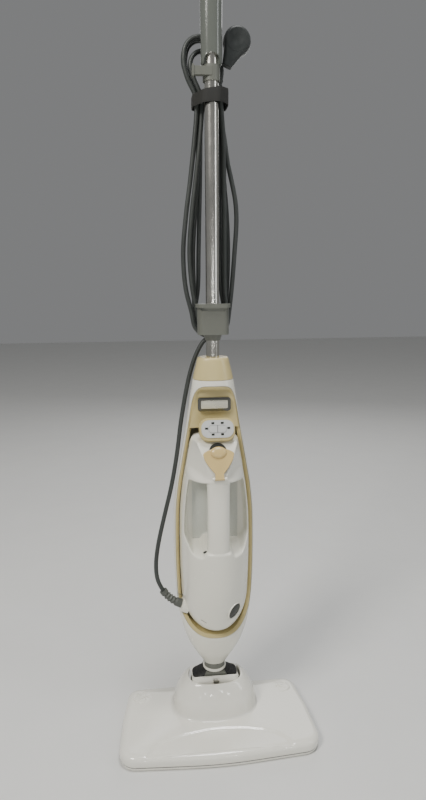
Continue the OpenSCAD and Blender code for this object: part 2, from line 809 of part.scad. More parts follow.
// Control pod; "out" is measured square to its sloping face, from the front of the grey fascia
pod_tilt = 12;
pod_reach = 55;
module pod(out) {
    facing(pod_reach, pod_z, pod_tilt) translate([0, 0, out]) children();
}

module pod_bezel() {
    color(beige) difference() {
        union() {
            pod(-18) translate([0, -1.5, 0]) pill(50, 33, 13, 14);
            pod(-11) translate([0, -1, 0]) pill(48.5, 30.5, 12.5, 9.5);
            // Stem let into the unit's shoulders
            translate([-9, pole_y - 46, unit_z1 - 12]) cube([18, 20, 22]);
        }
        pod(-3) pill(45.4, 25, 10.8, 6);
        pod(-14) pill(43, 22.6, 9.6, 20);
    }
}

module control_board() {
    color([0.12, 0.35, 0.22]) pod(-13.8) pill(40, 20, 8, 1.6);
}

key_w = 25;
key_h = 9.8;
module pod_fascia() {
    color(pale_grey) difference() {
        pod(-3) pill(45.2, 24.8, 10.7, 3);
        pod(-6) pill(key_w + 0.6, key_h + 0.6, 4.7, 10);
        for (p = lamp_places)
            pod(-6) translate([p[0] - lamp_w / 2, p[1] - lamp_h / 2, 0]) cube([lamp_w, lamp_h, 10]);
    }
}

lamp_w = 4;
lamp_h = 2.6;
lamp_places = [[-6.6, 8.3], [6.6, 8.3], [-15.6, 1], [15.6, 1], [-6.6, -7.6], [6.6, -7.6]];
module status_lamps() {
    color(black) for (p = lamp_places)
        pod(-4) translate([p[0] - lamp_w / 2, p[1] - lamp_h / 2, 0]) cube([lamp_w, lamp_h, 4.2]);
}

// Half of the oval key; side is -1 for the left one
module key(side) {
    pod(-5) intersection() {
        pill(key_w, key_h, 4.4, 5.6);
        translate([side > 0 ? 0.4 : -20.4, -10, -1]) cube([20, 20, 20]);
    }
}
module steam_button() { color(pale_grey) key(-1); }
module power_button() { color(pale_grey) key(1); }

// Filler flap, hinged along its lower edge; drawn in the plane of the sloping front
module on_slope(out) {
    translate([0, pole_y - flap_reach - 9, 434])
        rotate([90 - filler_tilt, 0, 0])
            translate([0, 0, out]) children();
}

flap_outline = rounded([
    [6.5, -2, 0.8], [6.5, 5, 0.8], [5.2, 8, 2], [21.5, 29, 4], [17, 37.5, 4], [9.5, 38, 3], [6, 41.5, 5],
    [-6, 41.5, 5], [-9.5, 38, 3], [-17, 37.5, 4], [-21.5, 29, 4], [-5.2, 8, 2], [-6.5, 5, 0.8], [-6.5, -2, 0.8]
], 4);

module filler_flap() {
    color(gold) on_slope(1.5) difference() {
        union() {
            linear_extrude(2.4) polygon(flap_outline);
            translate([0, 34, 2]) intersection() {
                translate([0, 0, -12]) sphere(r = 16);
                cylinder(r = 9.4, h = 8);
            }
            translate([-6.5, 0, 0]) rotate([0, 90, 0]) cylinder(r = 2.4, h = 13);
        }
        translate([-10, 0, 0]) rotate([0, 90, 0]) cylinder(r = 1.25, h = 20);
    }
}

module flap_pin() {
    color(white) on_slope(1.5) union() {
        translate([-10, 0, 0]) rotate([0, 90, 0]) cylinder(r = 1.2, h = 20);
        for (x = [-10, 7]) translate([x, 0, 0]) rotate([0, 90, 0]) cylinder(r = 2.2, h = 3);
    }
}

window_x = 25;
window_z = 219;
module gauge_window() {
    reach = unit_reach(window_x, window_z);
    color([0.25, 0.27, 0.24]) translate([window_x, pole_y - reach + 3, window_z])
        rotate([98, 0, 32]) rotate(-25) linear_extrude(4.5)
        polygon([for (a = [0 : 12 : 348]) [8.5 * cos(a), 13 * sin(a)]]);
}

// Cable boss on the left flank, pointing out and up
boss_at = [-44, pole_y - 15, 212];
boss_lean = 70;
boss_out = 9;
boss_r = 12.6;
boss_dir = [-sin(boss_lean), 0, cos(boss_lean)];
module at_boss(out) {
    translate(boss_at + out * boss_dir) rotate([0, -boss_lean, 0]) children();
}

module cord_boss() {
    color(white) at_boss(-3) difference() {
        union() {
            cylinder(r1 = boss_r, r2 = boss_r - 0.8, h = boss_out + 2);
            cylinder(r = boss_r - 2, h = boss_out + 3);
        }
        translate([0, 0, 5]) cylinder(r = 6, h = 40);
        cylinder(r = 3.6, h = 40);
    }
}

// Room in the cradle's rim for the boss, open to the front so that the unit can be drawn out
module boss_notch() {
    at_boss(-6) union() {
        cylinder(r = boss_r + 1, h = 60);
        translate([-boss_r - 1, -60, 0]) cube([2 * boss_r + 2, 60, 60]);
    }
}

// The strain relief leaves the boss along its axis and curves upwards, ribbed and thinning
relief_end = 30;
relief_bend_r = 54;
relief_from = boss_at + (boss_out - 1) * boss_dir;
function relief_point(lean) =
    relief_from + relief_bend_r * [cos(boss_lean) - cos(lean), 0, sin(boss_lean) - sin(lean)];
relief_rings = 21;
function relief_lean(k) = lerp(boss_lean, relief_end, k / relief_rings);
module strain_relief() {
    color(mid_grey) sweep(
        concat(
            [boss_at + 3 * boss_dir],
            [for (k = [0 : relief_rings]) relief_point(relief_lean(k))]
        ),
        concat(
            [11.6],
            [for (k = [0 : relief_rings]) lerp(11.6, 9, k / relief_rings) - (k % 3 == 2 ? 1.6 : 0)]
        ),
        12
    );
}

module steam_spigot() {
    color(brass) difference() {
        bar_y(4.5, -41, -20, 0, socket_z);
        bar_y(2, -50, -10, 0, socket_z);
    }
}

module spigot_seal() {
    color(black) difference() {
        bar_y(5.6, -39, -36.6, 0, socket_z);
        bar_y(4.5, -50, -10, 0, socket_z);
    }
}

module unit_screws() {
    color(steel) for (p = [[-30, 270], [30, 270], [-30, 400], [30, 400]])
        let (depth = curve(unit_backs, p[1]) * arch(p[0] / unit_w(p[1]), squareness))
        translate([p[0], pole_y + depth - 0.8, p[1]]) rotate([90, 0, 0]) screw(3, 1.3, 7);
}

// ---- Mains lead ----

// Front-view outline of the folded lead, which lies behind the pole and is pinched by the strap
hank_left = [
    [618, 12], [625, 24], [650, 34], [700, 41], [740, 43], [800, 36], [860, 28], [910, 23.5], [930, 22],
    [955, 22], [975, 31], [995, 37], [1012, 34], [1022, 24], [1026, 10]
];
hank_right = [
    [618, 12], [625, 20], [650, 30], [700, 37], [770, 39], [820, 30], [870, 23], [910, 21], [930, 21],
    [955, 21], [975, 22], [995, 22], [1012, 19], [1022, 14], [1026, 8]
];
hank_hole = [[631, 8], [645, 9], [680, 14], [720, 18], [770, 19], [820, 13], [850, 8], [870, 2]];
hank_heights = concat(
    [618, 620, 623, 628, 636, 648], [for (z = [665 : 20 : 1005]) z], [1012, 1018, 1022, 1026]
);
hank_front = 14;
hank_back = 41;

module cord_hank() {
    color(charcoal) translate([0, pole_y + hank_back, 0]) rotate([90, 0, 0])
        linear_extrude(hank_back - hank_front) difference() {
            polygon(concat(
                [for (z = hank_heights) [curve(hank_right, z), z]],
                [for (z = turned(hank_heights)) [-curve(hank_left, z), z]]
            ));
            polygon(concat(
                [for (z = [631, each [645 : 15 : 870]]) [curve(hank_hole, z), z]],
                [for (z = [each [870 : -15 : 645], 631]) [-curve(hank_hole, z), z]]
            ));
        }
}

lead_route = [
    [-80, 14, 238.9], [-83.6, 14, 245.4], [-86.6, 14, 252.4], [-88.6, 14.5, 260], [-89.6, 15.5, 268],
    [-89.8, 17, 278], [-88.6, 19, 292], [-86, 21.5, 308], [-82, 24, 326], [-76.5, 26.5, 348],
    [-70.5, 29, 371], [-64.5, 31.5, 394], [-59.5, 34, 417], [-55, 37, 441], [-51, 40, 466],
    [-47.5, 43, 491], [-43, 46, 516], [-38, 48.5, 541], [-32, 51, 566], [-24.5, 53, 589],
    [-17, 53.5, 605], [-10, 53.5, 615.5], [-3, 53, 620]
];

module cord_lead() {
    color(charcoal) sweep(lead_route, cord_d, 10);
}

strap_z0 = 932;
strap_z1 = 953;
module cord_strap() {
    color(charcoal) translate([0, pole_y, strap_z0]) linear_extrude(strap_z1 - strap_z0) difference() {
        polygon(rounded([
            [14, -12.5, 8], [26, 2, 10], [26, hank_back + 2.4, 5],
            [-26, hank_back + 2.4, 5], [-26, 2, 10], [-14, -12.5, 8]
        ]));
        polygon(rounded([
            [12.5, -10.2, 7], [24, 3, 9], [24, hank_back + 0.4, 4],
            [-24, hank_back + 0.4, 4], [-24, 3, 9], [-12.5, -10.2, 7]
        ]));
    }
}

plug_x = 38;
plug_z = 1019;
plug_reach = -15.5;
plug_lean = 24;
module at_plug() {
    translate([plug_x, pole_y - plug_reach, plug_z]) rotate([-90, 0, 0]) rotate(plug_lean) children();
}

module plug_body() {
    color(charcoal) at_plug() union() {
        cylinder(r = plug_d / 2 - 1, h = 13);
        translate([0, 0, 4]) cylinder(r = plug_d / 2, h = 9);
        // Stem towards the lead
        translate([-8, 0, 1]) cube([16, 34, 12]);
        translate([0, 30, 7]) rotate([-90, 0, 0]) cylinder(r1 = 6.2, r2 = 4.3, h = 24);
    }
}

module plug_insert() {
    color(pale_grey) at_plug() translate([0, 0, 13]) cylinder(r = plug_d / 2 - 0.8, h = 4);
}

module plug_pins() {
    color(steel) at_plug() for (x = [-9.5, 9.5]) translate([x, 0, 17]) cylinder(r = 2.4, h = 19);
}

// ---- One piece at a time, or the whole assembly ----

sole_plate();
head_cover();
head_gasket();
steam_chamber();
head_hose();
pivot_bracket();
cloth_gripper_left();
cloth_gripper_right();
hook_strips();
head_screws();
tilt_pins();
yoke();
roll_pin();
swivel_neck();
neck_boot();
bottom_ring();
cradle_rear_shell();
cradle_front_frame();
dock_liner();
top_collar();
badge_frame();
steam_socket();
stick_hose();
cradle_screws();
pole();
lower_cord_hook();
grip_rear_shell();
grip_front_shell();
grip_screws();
cord_strap();
upper_cord_hook();
release_button();
unit_front_shell();
unit_rear_shell();
handle_bar();
water_tank();
filler_neck();
pump();
boiler();
control_board();
pod_bezel();
pod_fascia();
status_lamps();
gauge_window();
flap_pin();
cord_boss();
strain_relief();
steam_spigot();
spigot_seal();
unit_screws();
filler_flap();
steam_button();
power_button();
cord_lead();
cord_hank();
plug_body();
plug_insert();
plug_pins();
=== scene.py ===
"""Looks of an upright steam mop with a detachable hand-held steam unit.

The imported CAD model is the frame. Shapes are worked out in millimetres about the pole's axis, where
"reach" is the distance in front of that axis, and turned into metres as each mesh is made.
"""

import math

import bmesh
import bpy
import numpy as np
from mathutils import Matrix, Vector


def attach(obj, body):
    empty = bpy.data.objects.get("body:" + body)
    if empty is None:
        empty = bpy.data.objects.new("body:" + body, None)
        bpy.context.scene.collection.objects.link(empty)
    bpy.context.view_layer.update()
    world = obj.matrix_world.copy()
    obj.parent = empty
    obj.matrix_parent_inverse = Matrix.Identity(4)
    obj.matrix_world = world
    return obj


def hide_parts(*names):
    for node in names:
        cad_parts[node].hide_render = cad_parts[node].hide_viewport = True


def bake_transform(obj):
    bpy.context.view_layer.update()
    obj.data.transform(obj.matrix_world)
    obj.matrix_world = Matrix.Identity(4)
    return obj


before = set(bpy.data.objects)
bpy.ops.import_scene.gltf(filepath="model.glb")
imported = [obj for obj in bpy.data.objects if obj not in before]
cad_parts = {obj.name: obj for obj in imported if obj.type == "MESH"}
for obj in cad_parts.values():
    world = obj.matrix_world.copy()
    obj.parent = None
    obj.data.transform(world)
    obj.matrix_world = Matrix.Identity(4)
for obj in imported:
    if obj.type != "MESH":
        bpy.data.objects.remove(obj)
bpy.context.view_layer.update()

MM = 0.001
POLE_Y = 29.0


# ---- Camera, light and floor ----

# The camera's place is in metres; its focal length is in pixels of an image of the given height
CAMERA_AT = Vector((-0.0994, -0.8303, 0.707))
CAMERA_PITCH = 11.57
CAMERA_ROLL = -0.3
FOCAL_PIXELS = 601
IMAGE_HEIGHT = 800
SENSOR = 36
# Small lights low in front, which glint in the glossy head: x and z
GLINTS = [(-1.1, 0.4), (-0.5, 0.62), (0.0, 0.42), (0.5, 0.7), (1.0, 0.45)]
FLOOR_HALF = 6


def make_camera():
    data = bpy.data.cameras.new("camera")
    data.sensor_width = SENSOR
    data.lens = SENSOR * FOCAL_PIXELS / IMAGE_HEIGHT
    data.clip_start = 0.01
    camera = bpy.data.objects.new("camera", data)
    bpy.context.collection.objects.link(camera)
    level = Vector((-CAMERA_AT.x, POLE_Y * MM - CAMERA_AT.y, 0)).normalized()
    pitch = math.radians(CAMERA_PITCH)
    look = level * math.cos(pitch) - Vector((0, 0, math.sin(pitch)))
    turn = look.to_track_quat("-Z", "Y").to_matrix().to_4x4()
    roll = Matrix.Rotation(math.radians(CAMERA_ROLL), 4, "Z")
    camera.matrix_world = Matrix.Translation(CAMERA_AT) @ turn @ roll
    bpy.context.scene.camera = camera


def area_light(name, at, aim, size, power, colour=(1, 1, 1)):
    data = bpy.data.lights.new(name, "AREA")
    data.shape = "RECTANGLE"
    data.size, data.size_y = size
    data.energy = power
    data.color = colour
    light = bpy.data.objects.new(name, data)
    light.location = at
    light.rotation_euler = (Vector(aim) - Vector(at)).to_track_quat("-Z", "Y").to_euler()
    bpy.context.collection.objects.link(light)


def make_studio():
    area_light("key", (-1.3, -1.3, 2.2), (0, 0, 0.45), (0.6, 0.8), 46, (1.0, 0.97, 0.92))
    area_light("fill", (1.9, -1.1, 1.3), (0, 0, 0.5), (0.35, 1.8), 9, (0.95, 0.98, 1.0))
    area_light("top", (0.15, -0.45, 2.7), (0, 0, 0.3), (0.7, 0.7), 34)
    area_light("back", (0.5, 1.9, 1.5), (0, 0, 0.6), (1.6, 1.2), 10)
    for x, z in GLINTS:
        area_light("glint", (x, -3, z), (0, 0, 0.1), (0.08, 0.08), 1.2)
    world = bpy.data.worlds.new("studio")
    world.use_nodes = True
    backdrop = world.node_tree.nodes["Background"]
    backdrop.inputs["Color"].default_value = (0.86, 0.87, 0.88, 1)
    backdrop.inputs["Strength"].default_value = 0.24
    bpy.context.scene.world = world


def make_floor():
    h = FLOOR_HALF
    mesh = bpy.data.meshes.new("floor")
    mesh.from_pydata([(-h, -h, 0), (h, -h, 0), (h, h, 0), (-h, h, 0)], [], [(0, 1, 2, 3)])
    floor = bpy.data.objects.new("floor", mesh)
    bpy.context.collection.objects.link(floor)
    floor.data.materials.append(plastic("floor_paint", (0.72, 0.72, 0.70), 0.55, 0.02, grain=0.02))


# ---- Numbers and curves ----


def curve(table, x):
    """Smooth curve through a [position, value] table, held level beyond its ends."""
    t = np.array(table, float)
    p, v = t[:, 0], t[:, 1]
    a = np.maximum(np.arange(len(p)) - 1, 0)
    b = np.minimum(np.arange(len(p)) + 1, len(p) - 1)
    m = (v[b] - v[a]) / (p[b] - p[a])
    x = np.clip(np.asarray(x, float), p[0], p[-1])
    i = np.clip(np.searchsorted(p, x, side="right") - 1, 0, len(p) - 2)
    h = p[i + 1] - p[i]
    s = (x - p[i]) / h
    return (
        v[i] * (1 + 2 * s) * (1 - s) ** 2
        + m[i] * h * s * (1 - s) ** 2
        + v[i + 1] * s * s * (3 - 2 * s)
        + m[i + 1] * h * s * s * (s - 1)
    )


def ease(t):
    t = np.clip(t, 0, 1)
    return t * t * (3 - 2 * t)


def arch(x, n):
    """Height of a rounded arch over a half width of 1."""
    return np.maximum(0, 1 - np.minimum(1, np.abs(x)) ** n) ** (1 / n)


def signed_power(v, e):
    return np.sign(v) * np.abs(v) ** e


def spline(points, step):
    """Points of a smooth curve through the given ones, about a step apart."""
    p = np.array(points, float)
    p = np.vstack([2 * p[0] - p[1], p, 2 * p[-1] - p[-2]])
    out = []
    for i in range(1, len(p) - 2):
        p0, p1, p2, p3 = p[i - 1 : i + 3]
        t1 = np.linalg.norm(p1 - p0) ** 0.5
        t2 = t1 + np.linalg.norm(p2 - p1) ** 0.5
        t3 = t2 + np.linalg.norm(p3 - p2) ** 0.5
        count = max(1, round(np.linalg.norm(p2 - p1) / step))
        for k in range(count):
            t = t1 + (t2 - t1) * k / count
            a1 = (t1 - t) / t1 * p0 + t / t1 * p1
            a2 = (t2 - t) / (t2 - t1) * p1 + (t - t1) / (t2 - t1) * p2
            a3 = (t3 - t) / (t3 - t2) * p2 + (t - t2) / (t3 - t2) * p3
            b1 = (t2 - t) / t2 * a1 + t / t2 * a2
            b2 = (t3 - t) / (t3 - t1) * a2 + (t - t1) / (t3 - t1) * a3
            out.append((t2 - t) / (t2 - t1) * b1 + (t - t1) / (t2 - t1) * b2)
    out.append(p[-2])
    return np.array(out)


def rounded(corners, n):
    """Outline of [x, y, radius] corners with an arc at each."""
    out = []
    for i, (x, y, r) in enumerate(corners):
        b = np.array([x, y], float)
        a = np.array(corners[i - 1][:2], float)
        c = np.array(corners[(i + 1) % len(corners)][:2], float)
        u = (a - b) / np.linalg.norm(a - b)
        v = (c - b) / np.linalg.norm(c - b)
        half = math.acos(float(np.clip(u @ v, -1, 1))) / 2
        centre = b + (u + v) / np.linalg.norm(u + v) * r / math.sin(half)
        p0 = b + u * r / math.tan(half) - centre
        p1 = b + v * r / math.tan(half) - centre
        a0 = math.atan2(p0[1], p0[0])
        sweep = (math.atan2(p1[1], p1[0]) - a0 + 3 * math.pi) % (2 * math.pi) - math.pi
        for k in range(n + 1):
            t = a0 + sweep * k / n
            out.append(centre + r * np.array([math.cos(t), math.sin(t)]))
    return np.array(out)


def resample(loop, step):
    """A closed loop with points evenly spaced, about a step apart."""
    closed = np.vstack([loop, loop[:1]])
    run = np.concatenate([[0], np.cumsum(np.linalg.norm(np.diff(closed, axis=0), axis=1))])
    at = np.linspace(0, run[-1], int(run[-1] / step), endpoint=False)
    return np.column_stack([np.interp(at, run, closed[:, k]) for k in range(closed.shape[1])])


def shrink(loop, d):
    """An anticlockwise loop moved inwards."""
    t = np.roll(loop, -1, axis=0) - np.roll(loop, 1, axis=0)
    t /= np.linalg.norm(t, axis=1)[:, None]
    return loop + d * np.column_stack([-t[:, 1], t[:, 0]])


def raise_to(loop, z):
    return np.column_stack([loop, np.full(len(loop), float(z))])


def about_pole(loop, z):
    """A flat loop drawn about the pole's axis, raised to z."""
    return raise_to(loop + [0, POLE_Y], z)


def circle(r, n=48, rx=None):
    a = np.linspace(0, 2 * math.pi, n, endpoint=False)
    return np.column_stack([(rx or r) * np.cos(a), r * np.sin(a)])


def squared_ring(w, d, x_power, y_power, n):
    """Squared ellipse with half sizes w and d; powers under 1 fill out its corners."""
    a = np.linspace(0, 2 * math.pi, n, endpoint=False)
    return np.column_stack([w * signed_power(np.cos(a), x_power), d * signed_power(np.sin(a), y_power)])


def rounded_box(w, h, r, n=4):
    """Rectangle with half sizes w and h and rounded corners."""
    return rounded([[w, -h, r], [w, h, r], [-w, h, r], [-w, -h, r]], n)


def sizes_at(table, z):
    """Width and depth at z from a table of [z, width, depth]."""
    return (float(curve([[row[0], row[k]] for row in table], z)) for k in (1, 2))


def distance_inside(points, loop):
    """Distance of each point from a closed loop: positive inside it, negative outside."""
    a, b = loop, np.roll(loop, -1, axis=0)
    ab = b - a
    ap = points[:, None] - a[None]
    t = np.clip((ap * ab).sum(2) / (ab * ab).sum(1), 0, 1)
    near = np.linalg.norm(ap - t[:, :, None] * ab, axis=2).min(1)
    x, y = points[:, 0:1], points[:, 1:2]
    crosses = (a[:, 1] > y) != (b[:, 1] > y)
    slope = np.where(b[:, 1] == a[:, 1], 1, b[:, 1] - a[:, 1])
    left = x < (b[:, 0] - a[:, 0]) * (y - a[:, 1]) / slope + a[:, 0]
    inside = (crosses & left).sum(1) % 2 == 1
    return np.where(inside, near, -near)


# ---- Meshes ----


def make_object(name, points, faces, smooth=40):
    """Object from points in millimetres; edges sharper than the smooth angle stay crisp."""
    mesh = bpy.data.meshes.new(name)
    places = [tuple(p) for p in np.asarray(points, float) * MM]
    mesh.from_pydata(places, [], [tuple(map(int, f)) for f in faces])
    mesh.validate()
    mesh.update()
    thing = bpy.data.objects.new(name, mesh)
    bpy.context.collection.objects.link(thing)
    tidy_normals(thing)
    shade(thing, smooth)
    return thing


def tidy_normals(thing):
    work = bmesh.new()
    work.from_mesh(thing.data)
    bmesh.ops.recalc_face_normals(work, faces=work.faces)
    work.to_mesh(thing.data)
    work.free()


def shade(thing, angle):
    thing.data.shade_smooth()
    thing.data.set_sharp_from_angle(angle=math.radians(angle))


def join_rows(rows, ring=True, loop=False, caps=False):
    """Points and faces of a grid. ring closes each row, loop joins the last row to the first."""
    rows = np.asarray(rows, float)
    count, width = rows.shape[:2]
    faces = []
    for i in range(count if loop else count - 1):
        for j in range(width if ring else width - 1):
            k, n = (i + 1) % count, (j + 1) % width
            faces.append((i * width + j, i * width + n, k * width + n, k * width + j))
    if caps:
        faces.append(tuple(range(width))[::-1])
        faces.append(tuple(range((count - 1) * width, count * width)))
    return rows.reshape(-1, 3), faces


def loft(name, rows, smooth=40, **kinds):
    points, faces = join_rows(rows, **kinds)
    return make_object(name, points, faces, smooth)


def apply_modifiers(thing):
    """Leaves the object with the mesh that its modifiers make."""
    graph = bpy.context.evaluated_depsgraph_get()
    mesh = bpy.data.meshes.new_from_object(thing.evaluated_get(graph))
    thing.modifiers.clear()
    thing.data = mesh


def cut(thing, cutters, operation="DIFFERENCE", smooth=40):
    """Cuts the pieces away from a thing, or joins them to it, and discards them."""
    for cutter in cutters:
        m = thing.modifiers.new("cut", "BOOLEAN")
        m.object = cutter
        m.operation = operation
        m.solver = "EXACT"
    apply_modifiers(thing)
    for cutter in cutters:
        bpy.data.objects.remove(cutter)
    shade(thing, smooth)


def soften(thing, width, angle):
    """Rounds the edges that are sharper than an angle."""
    m = thing.modifiers.new("round_edges", "BEVEL")
    m.width = width * MM
    m.segments = 2
    m.limit_method = "ANGLE"
    m.angle_limit = math.radians(angle)
    m.use_clamp_overlap = True
    m.harden_normals = True


def join_flats(thing):
    """Merges the faces that lie in one plane."""
    m = thing.modifiers.new("flats", "DECIMATE")
    m.decimate_type = "DISSOLVE"
    m.angle_limit = math.radians(1)


def melt(thing, voxel, passes):
    """Remeshes joined pieces as one moulding and smooths the joins."""
    m = thing.modifiers.new("remesh", "REMESH")
    m.mode = "VOXEL"
    m.voxel_size = voxel * MM
    m = thing.modifiers.new("smooth", "SMOOTH")
    m.iterations = passes
    apply_modifiers(thing)


def prism(name, loop, z0, z1, place=None):
    """Straight block with an outline drawn in its own XY plane, put in place by a matrix."""
    thing = loft(name, [raise_to(loop, z0), raise_to(loop, z1)], caps=True)
    if place is not None:
        thing.data.transform(place)
    return thing


def turn(name, profile, n, place=None):
    """Solid of revolution about Z from a closed [radius, height] profile."""
    r, z = np.array(profile, float).T
    angles = np.linspace(0, 2 * math.pi, n, endpoint=False)
    rows = [np.column_stack([r * math.cos(a), r * math.sin(a), z]) for a in angles]
    thing = loft(name, rows, loop=True)
    if place is not None:
        thing.data.transform(place)
    return thing


def lifted(matrix, *offset):
    """A matrix moved along its own axes, in millimetres."""
    return matrix @ Matrix.Translation(Vector(offset) * MM)


def place_at(x, y, z, *turns):
    """Matrix that turns by (degrees, axis) pairs and then moves, in millimetres."""
    m = Matrix.Translation(Vector((x, y, z)) * MM)
    for degrees, axis in turns:
        m = m @ Matrix.Rotation(math.radians(degrees), 4, axis)
    return m


def facing(x, reach, z, tilt=0):
    """Matrix for pieces drawn in the XY plane that face the front, leaning back by tilt."""
    return place_at(x, POLE_Y - reach, z, (90 - tilt, "X"))


def tube(name, path, radii, sides):
    """Round bar along a path, with a radius for each point."""
    path = np.asarray(path, float)
    radii = np.broadcast_to(np.asarray(radii, float), len(path))
    heading = np.gradient(path, axis=0)
    heading /= np.linalg.norm(heading, axis=1)[:, None]
    side = np.cross(heading[0], [0, 1, 0])
    rows = []
    a = np.linspace(0, 2 * math.pi, sides, endpoint=False)
    for p, h, r in zip(path, heading, radii):
        side = side - (side @ h) * h
        side /= np.linalg.norm(side)
        up = np.cross(h, side)
        rows.append(p + r * (np.outer(np.cos(a), side) + np.outer(np.sin(a), up)))
    return loft(name, rows, 60, caps=True)


# ---- Materials ----


class Tree:
    """Small helper that adds and joins shader nodes."""

    def __init__(self, name):
        self.material = bpy.data.materials.new(name)
        self.material.use_nodes = True
        self.nodes = self.material.node_tree.nodes
        self.links = self.material.node_tree.links
        self.shader = self.nodes["Principled BSDF"]
        self.place = self.nodes.new("ShaderNodeTexCoord").outputs["Object"]

    def set(self, **values):
        for key, value in values.items():
            self.shader.inputs[key.replace("_", " ")].default_value = value

    def join(self, source, target):
        self.links.new(source, target)

    def stretched(self, scale):
        node = self.nodes.new("ShaderNodeMapping")
        node.inputs["Scale"].default_value = scale
        self.join(self.place, node.inputs["Vector"])
        return node.outputs["Vector"]

    def noise(self, scale, detail, rough=0.5, vector=None):
        node = self.nodes.new("ShaderNodeTexNoise")
        node.inputs["Scale"].default_value = scale
        node.inputs["Detail"].default_value = detail
        node.inputs["Roughness"].default_value = rough
        self.join(vector or self.place, node.inputs["Vector"])
        return node.outputs["Fac"]

    def remap(self, source, low, high, to_low, to_high):
        node = self.nodes.new("ShaderNodeMapRange")
        for key, value in zip(("From Min", "From Max", "To Min", "To Max"), (low, high, to_low, to_high)):
            node.inputs[key].default_value = value
        self.join(source, node.inputs["Value"])
        return node.outputs["Result"]

    def ramp(self, source, stops):
        node = self.nodes.new("ShaderNodeValToRGB")
        elements = node.color_ramp.elements
        while len(elements) < len(stops):
            elements.new(0.5)
        for element, (at, colour) in zip(elements, stops):
            element.position = at
            element.color = (*colour, 1)
        self.join(source, node.inputs["Fac"])
        return node.outputs["Color"]

    def mix(self, factor, a, b):
        node = self.nodes.new("ShaderNodeMix")
        node.data_type = "RGBA"
        self.join(factor, node.inputs["Factor"])
        for source, key in ((a, 6), (b, 7)):
            if isinstance(source, tuple):
                node.inputs[key].default_value = (*source, 1)
            else:
                self.join(source, node.inputs[key])
        return node.outputs[2]

    def bump(self, source, distance, strength, after=None):
        node = self.nodes.new("ShaderNodeBump")
        node.inputs["Distance"].default_value = distance
        node.inputs["Strength"].default_value = strength
        self.join(source, node.inputs["Height"])
        if after is not None:
            self.join(after, node.inputs["Normal"])
        return node.outputs["Normal"]

    def finish(self, colour=None, rough=None, normal=None):
        for source, key in ((colour, "Base Color"), (rough, "Roughness"), (normal, "Normal")):
            if source is not None:
                self.join(source, self.shader.inputs[key])
        return self.material


def scaled(colour, k):
    return tuple(min(1.0, c * k) for c in colour)


def plastic(name, colour, rough, mottle, grain=0.03, coat=0.0, dust=None):
    """Moulded plastic: uneven tone, fine grain, worn patches that shine less, and dust in the low tones."""
    t = Tree(name)
    t.set(Coat_Weight=coat, Coat_Roughness=0.12)
    patches = t.noise(9, 5, 0.6)
    tone = t.ramp(patches, [(0.3, scaled(colour, 1 - mottle)), (0.7, scaled(colour, 1 + mottle * 0.4))])
    if dust:
        specks = t.remap(t.noise(420, 6, 0.7), 0.62, 0.72, 0, 1)
        tone = t.mix(specks, tone, dust)
    wear = t.remap(t.noise(60, 6, 0.65), 0.3, 0.75, rough * 0.8, min(1, rough * 1.35))
    fine = t.bump(t.noise(1250, 2), 0.00002 * grain / 0.03, 0.6)
    broad = t.bump(t.noise(55, 2), 0.00012, 0.25, fine)
    return t.finish(tone, wear, broad)


def metal(name, colour, rough, along, lines):
    """Drawn or brushed metal: fine lines run along the squeezed axis."""
    t = Tree(name)
    t.set(Metallic=1.0)
    vector = t.stretched(along)
    streaks = t.noise(lines, 4, 0.6, vector)
    tone = t.ramp(streaks, [(0.25, scaled(colour, 0.86)), (0.75, scaled(colour, 1.05))])
    blotch = t.remap(t.noise(30, 5, 0.6), 0.3, 0.7, rough * 0.75, rough * 1.4)
    return t.finish(tone, blotch, t.bump(streaks, 0.00001, 0.35))


def rubber(name, colour, rough):
    """Cable sheath and soft parts: dull, faintly pitted, with a dusty bloom."""
    t = Tree(name)
    bloom = t.noise(26, 5, 0.6)
    tone = t.ramp(bloom, [(0.3, scaled(colour, 0.82)), (0.75, scaled(colour, 1.18))])
    wear = t.remap(t.noise(120, 4), 0.3, 0.7, rough * 0.85, min(1, rough * 1.2))
    pits = t.bump(t.noise(1500, 2), 0.00003, 0.5)
    return t.finish(tone, wear, pits)


def hook_tape(name, colour):
    """Woven tape with a coarse hooked surface."""
    t = Tree(name)
    rows = t.nodes.new("ShaderNodeTexWave")
    rows.inputs["Scale"].default_value = 260
    rows.inputs["Distortion"].default_value = 1.2
    rows.bands_direction = "Z"
    t.join(t.place, rows.inputs["Vector"])
    fuzz = t.noise(2200, 3)
    tone = t.ramp(rows.outputs["Fac"], [(0.1, scaled(colour, 0.6)), (0.8, scaled(colour, 1.3))])
    lift = t.bump(rows.outputs["Fac"], 0.00025, 0.7)
    return t.finish(tone, t.remap(fuzz, 0.2, 0.8, 0.75, 0.95), t.bump(fuzz, 0.0001, 0.6, lift))


def lens(name, colour):
    """Tinted window: glossy, with smears that dull it."""
    t = Tree(name)
    t.set(Coat_Weight=0.1, Coat_Roughness=0.05, IOR=1.3)
    tone = t.ramp(t.noise(70, 3), [(0.3, scaled(colour, 0.7)), (0.75, scaled(colour, 1.5))])
    smear = t.remap(t.noise(90, 6, 0.7), 0.35, 0.75, 0.12, 0.312)
    return t.finish(tone, smear, t.bump(t.noise(300, 2), 0.00001, 0.4))


def clear_plastic(name, colour):
    """See-through tank wall with faint unevenness."""
    t = Tree(name)
    t.set(Transmission_Weight=0.85, IOR=1.46, Alpha=0.6)
    tone = t.ramp(t.noise(40, 3), [(0.3, scaled(colour, 0.93)), (0.7, colour)])
    smear = t.remap(t.noise(150, 4), 0.3, 0.7, 0.08, 0.2)
    return t.finish(tone, smear, t.bump(t.noise(400, 2), 0.00001, 0.4))


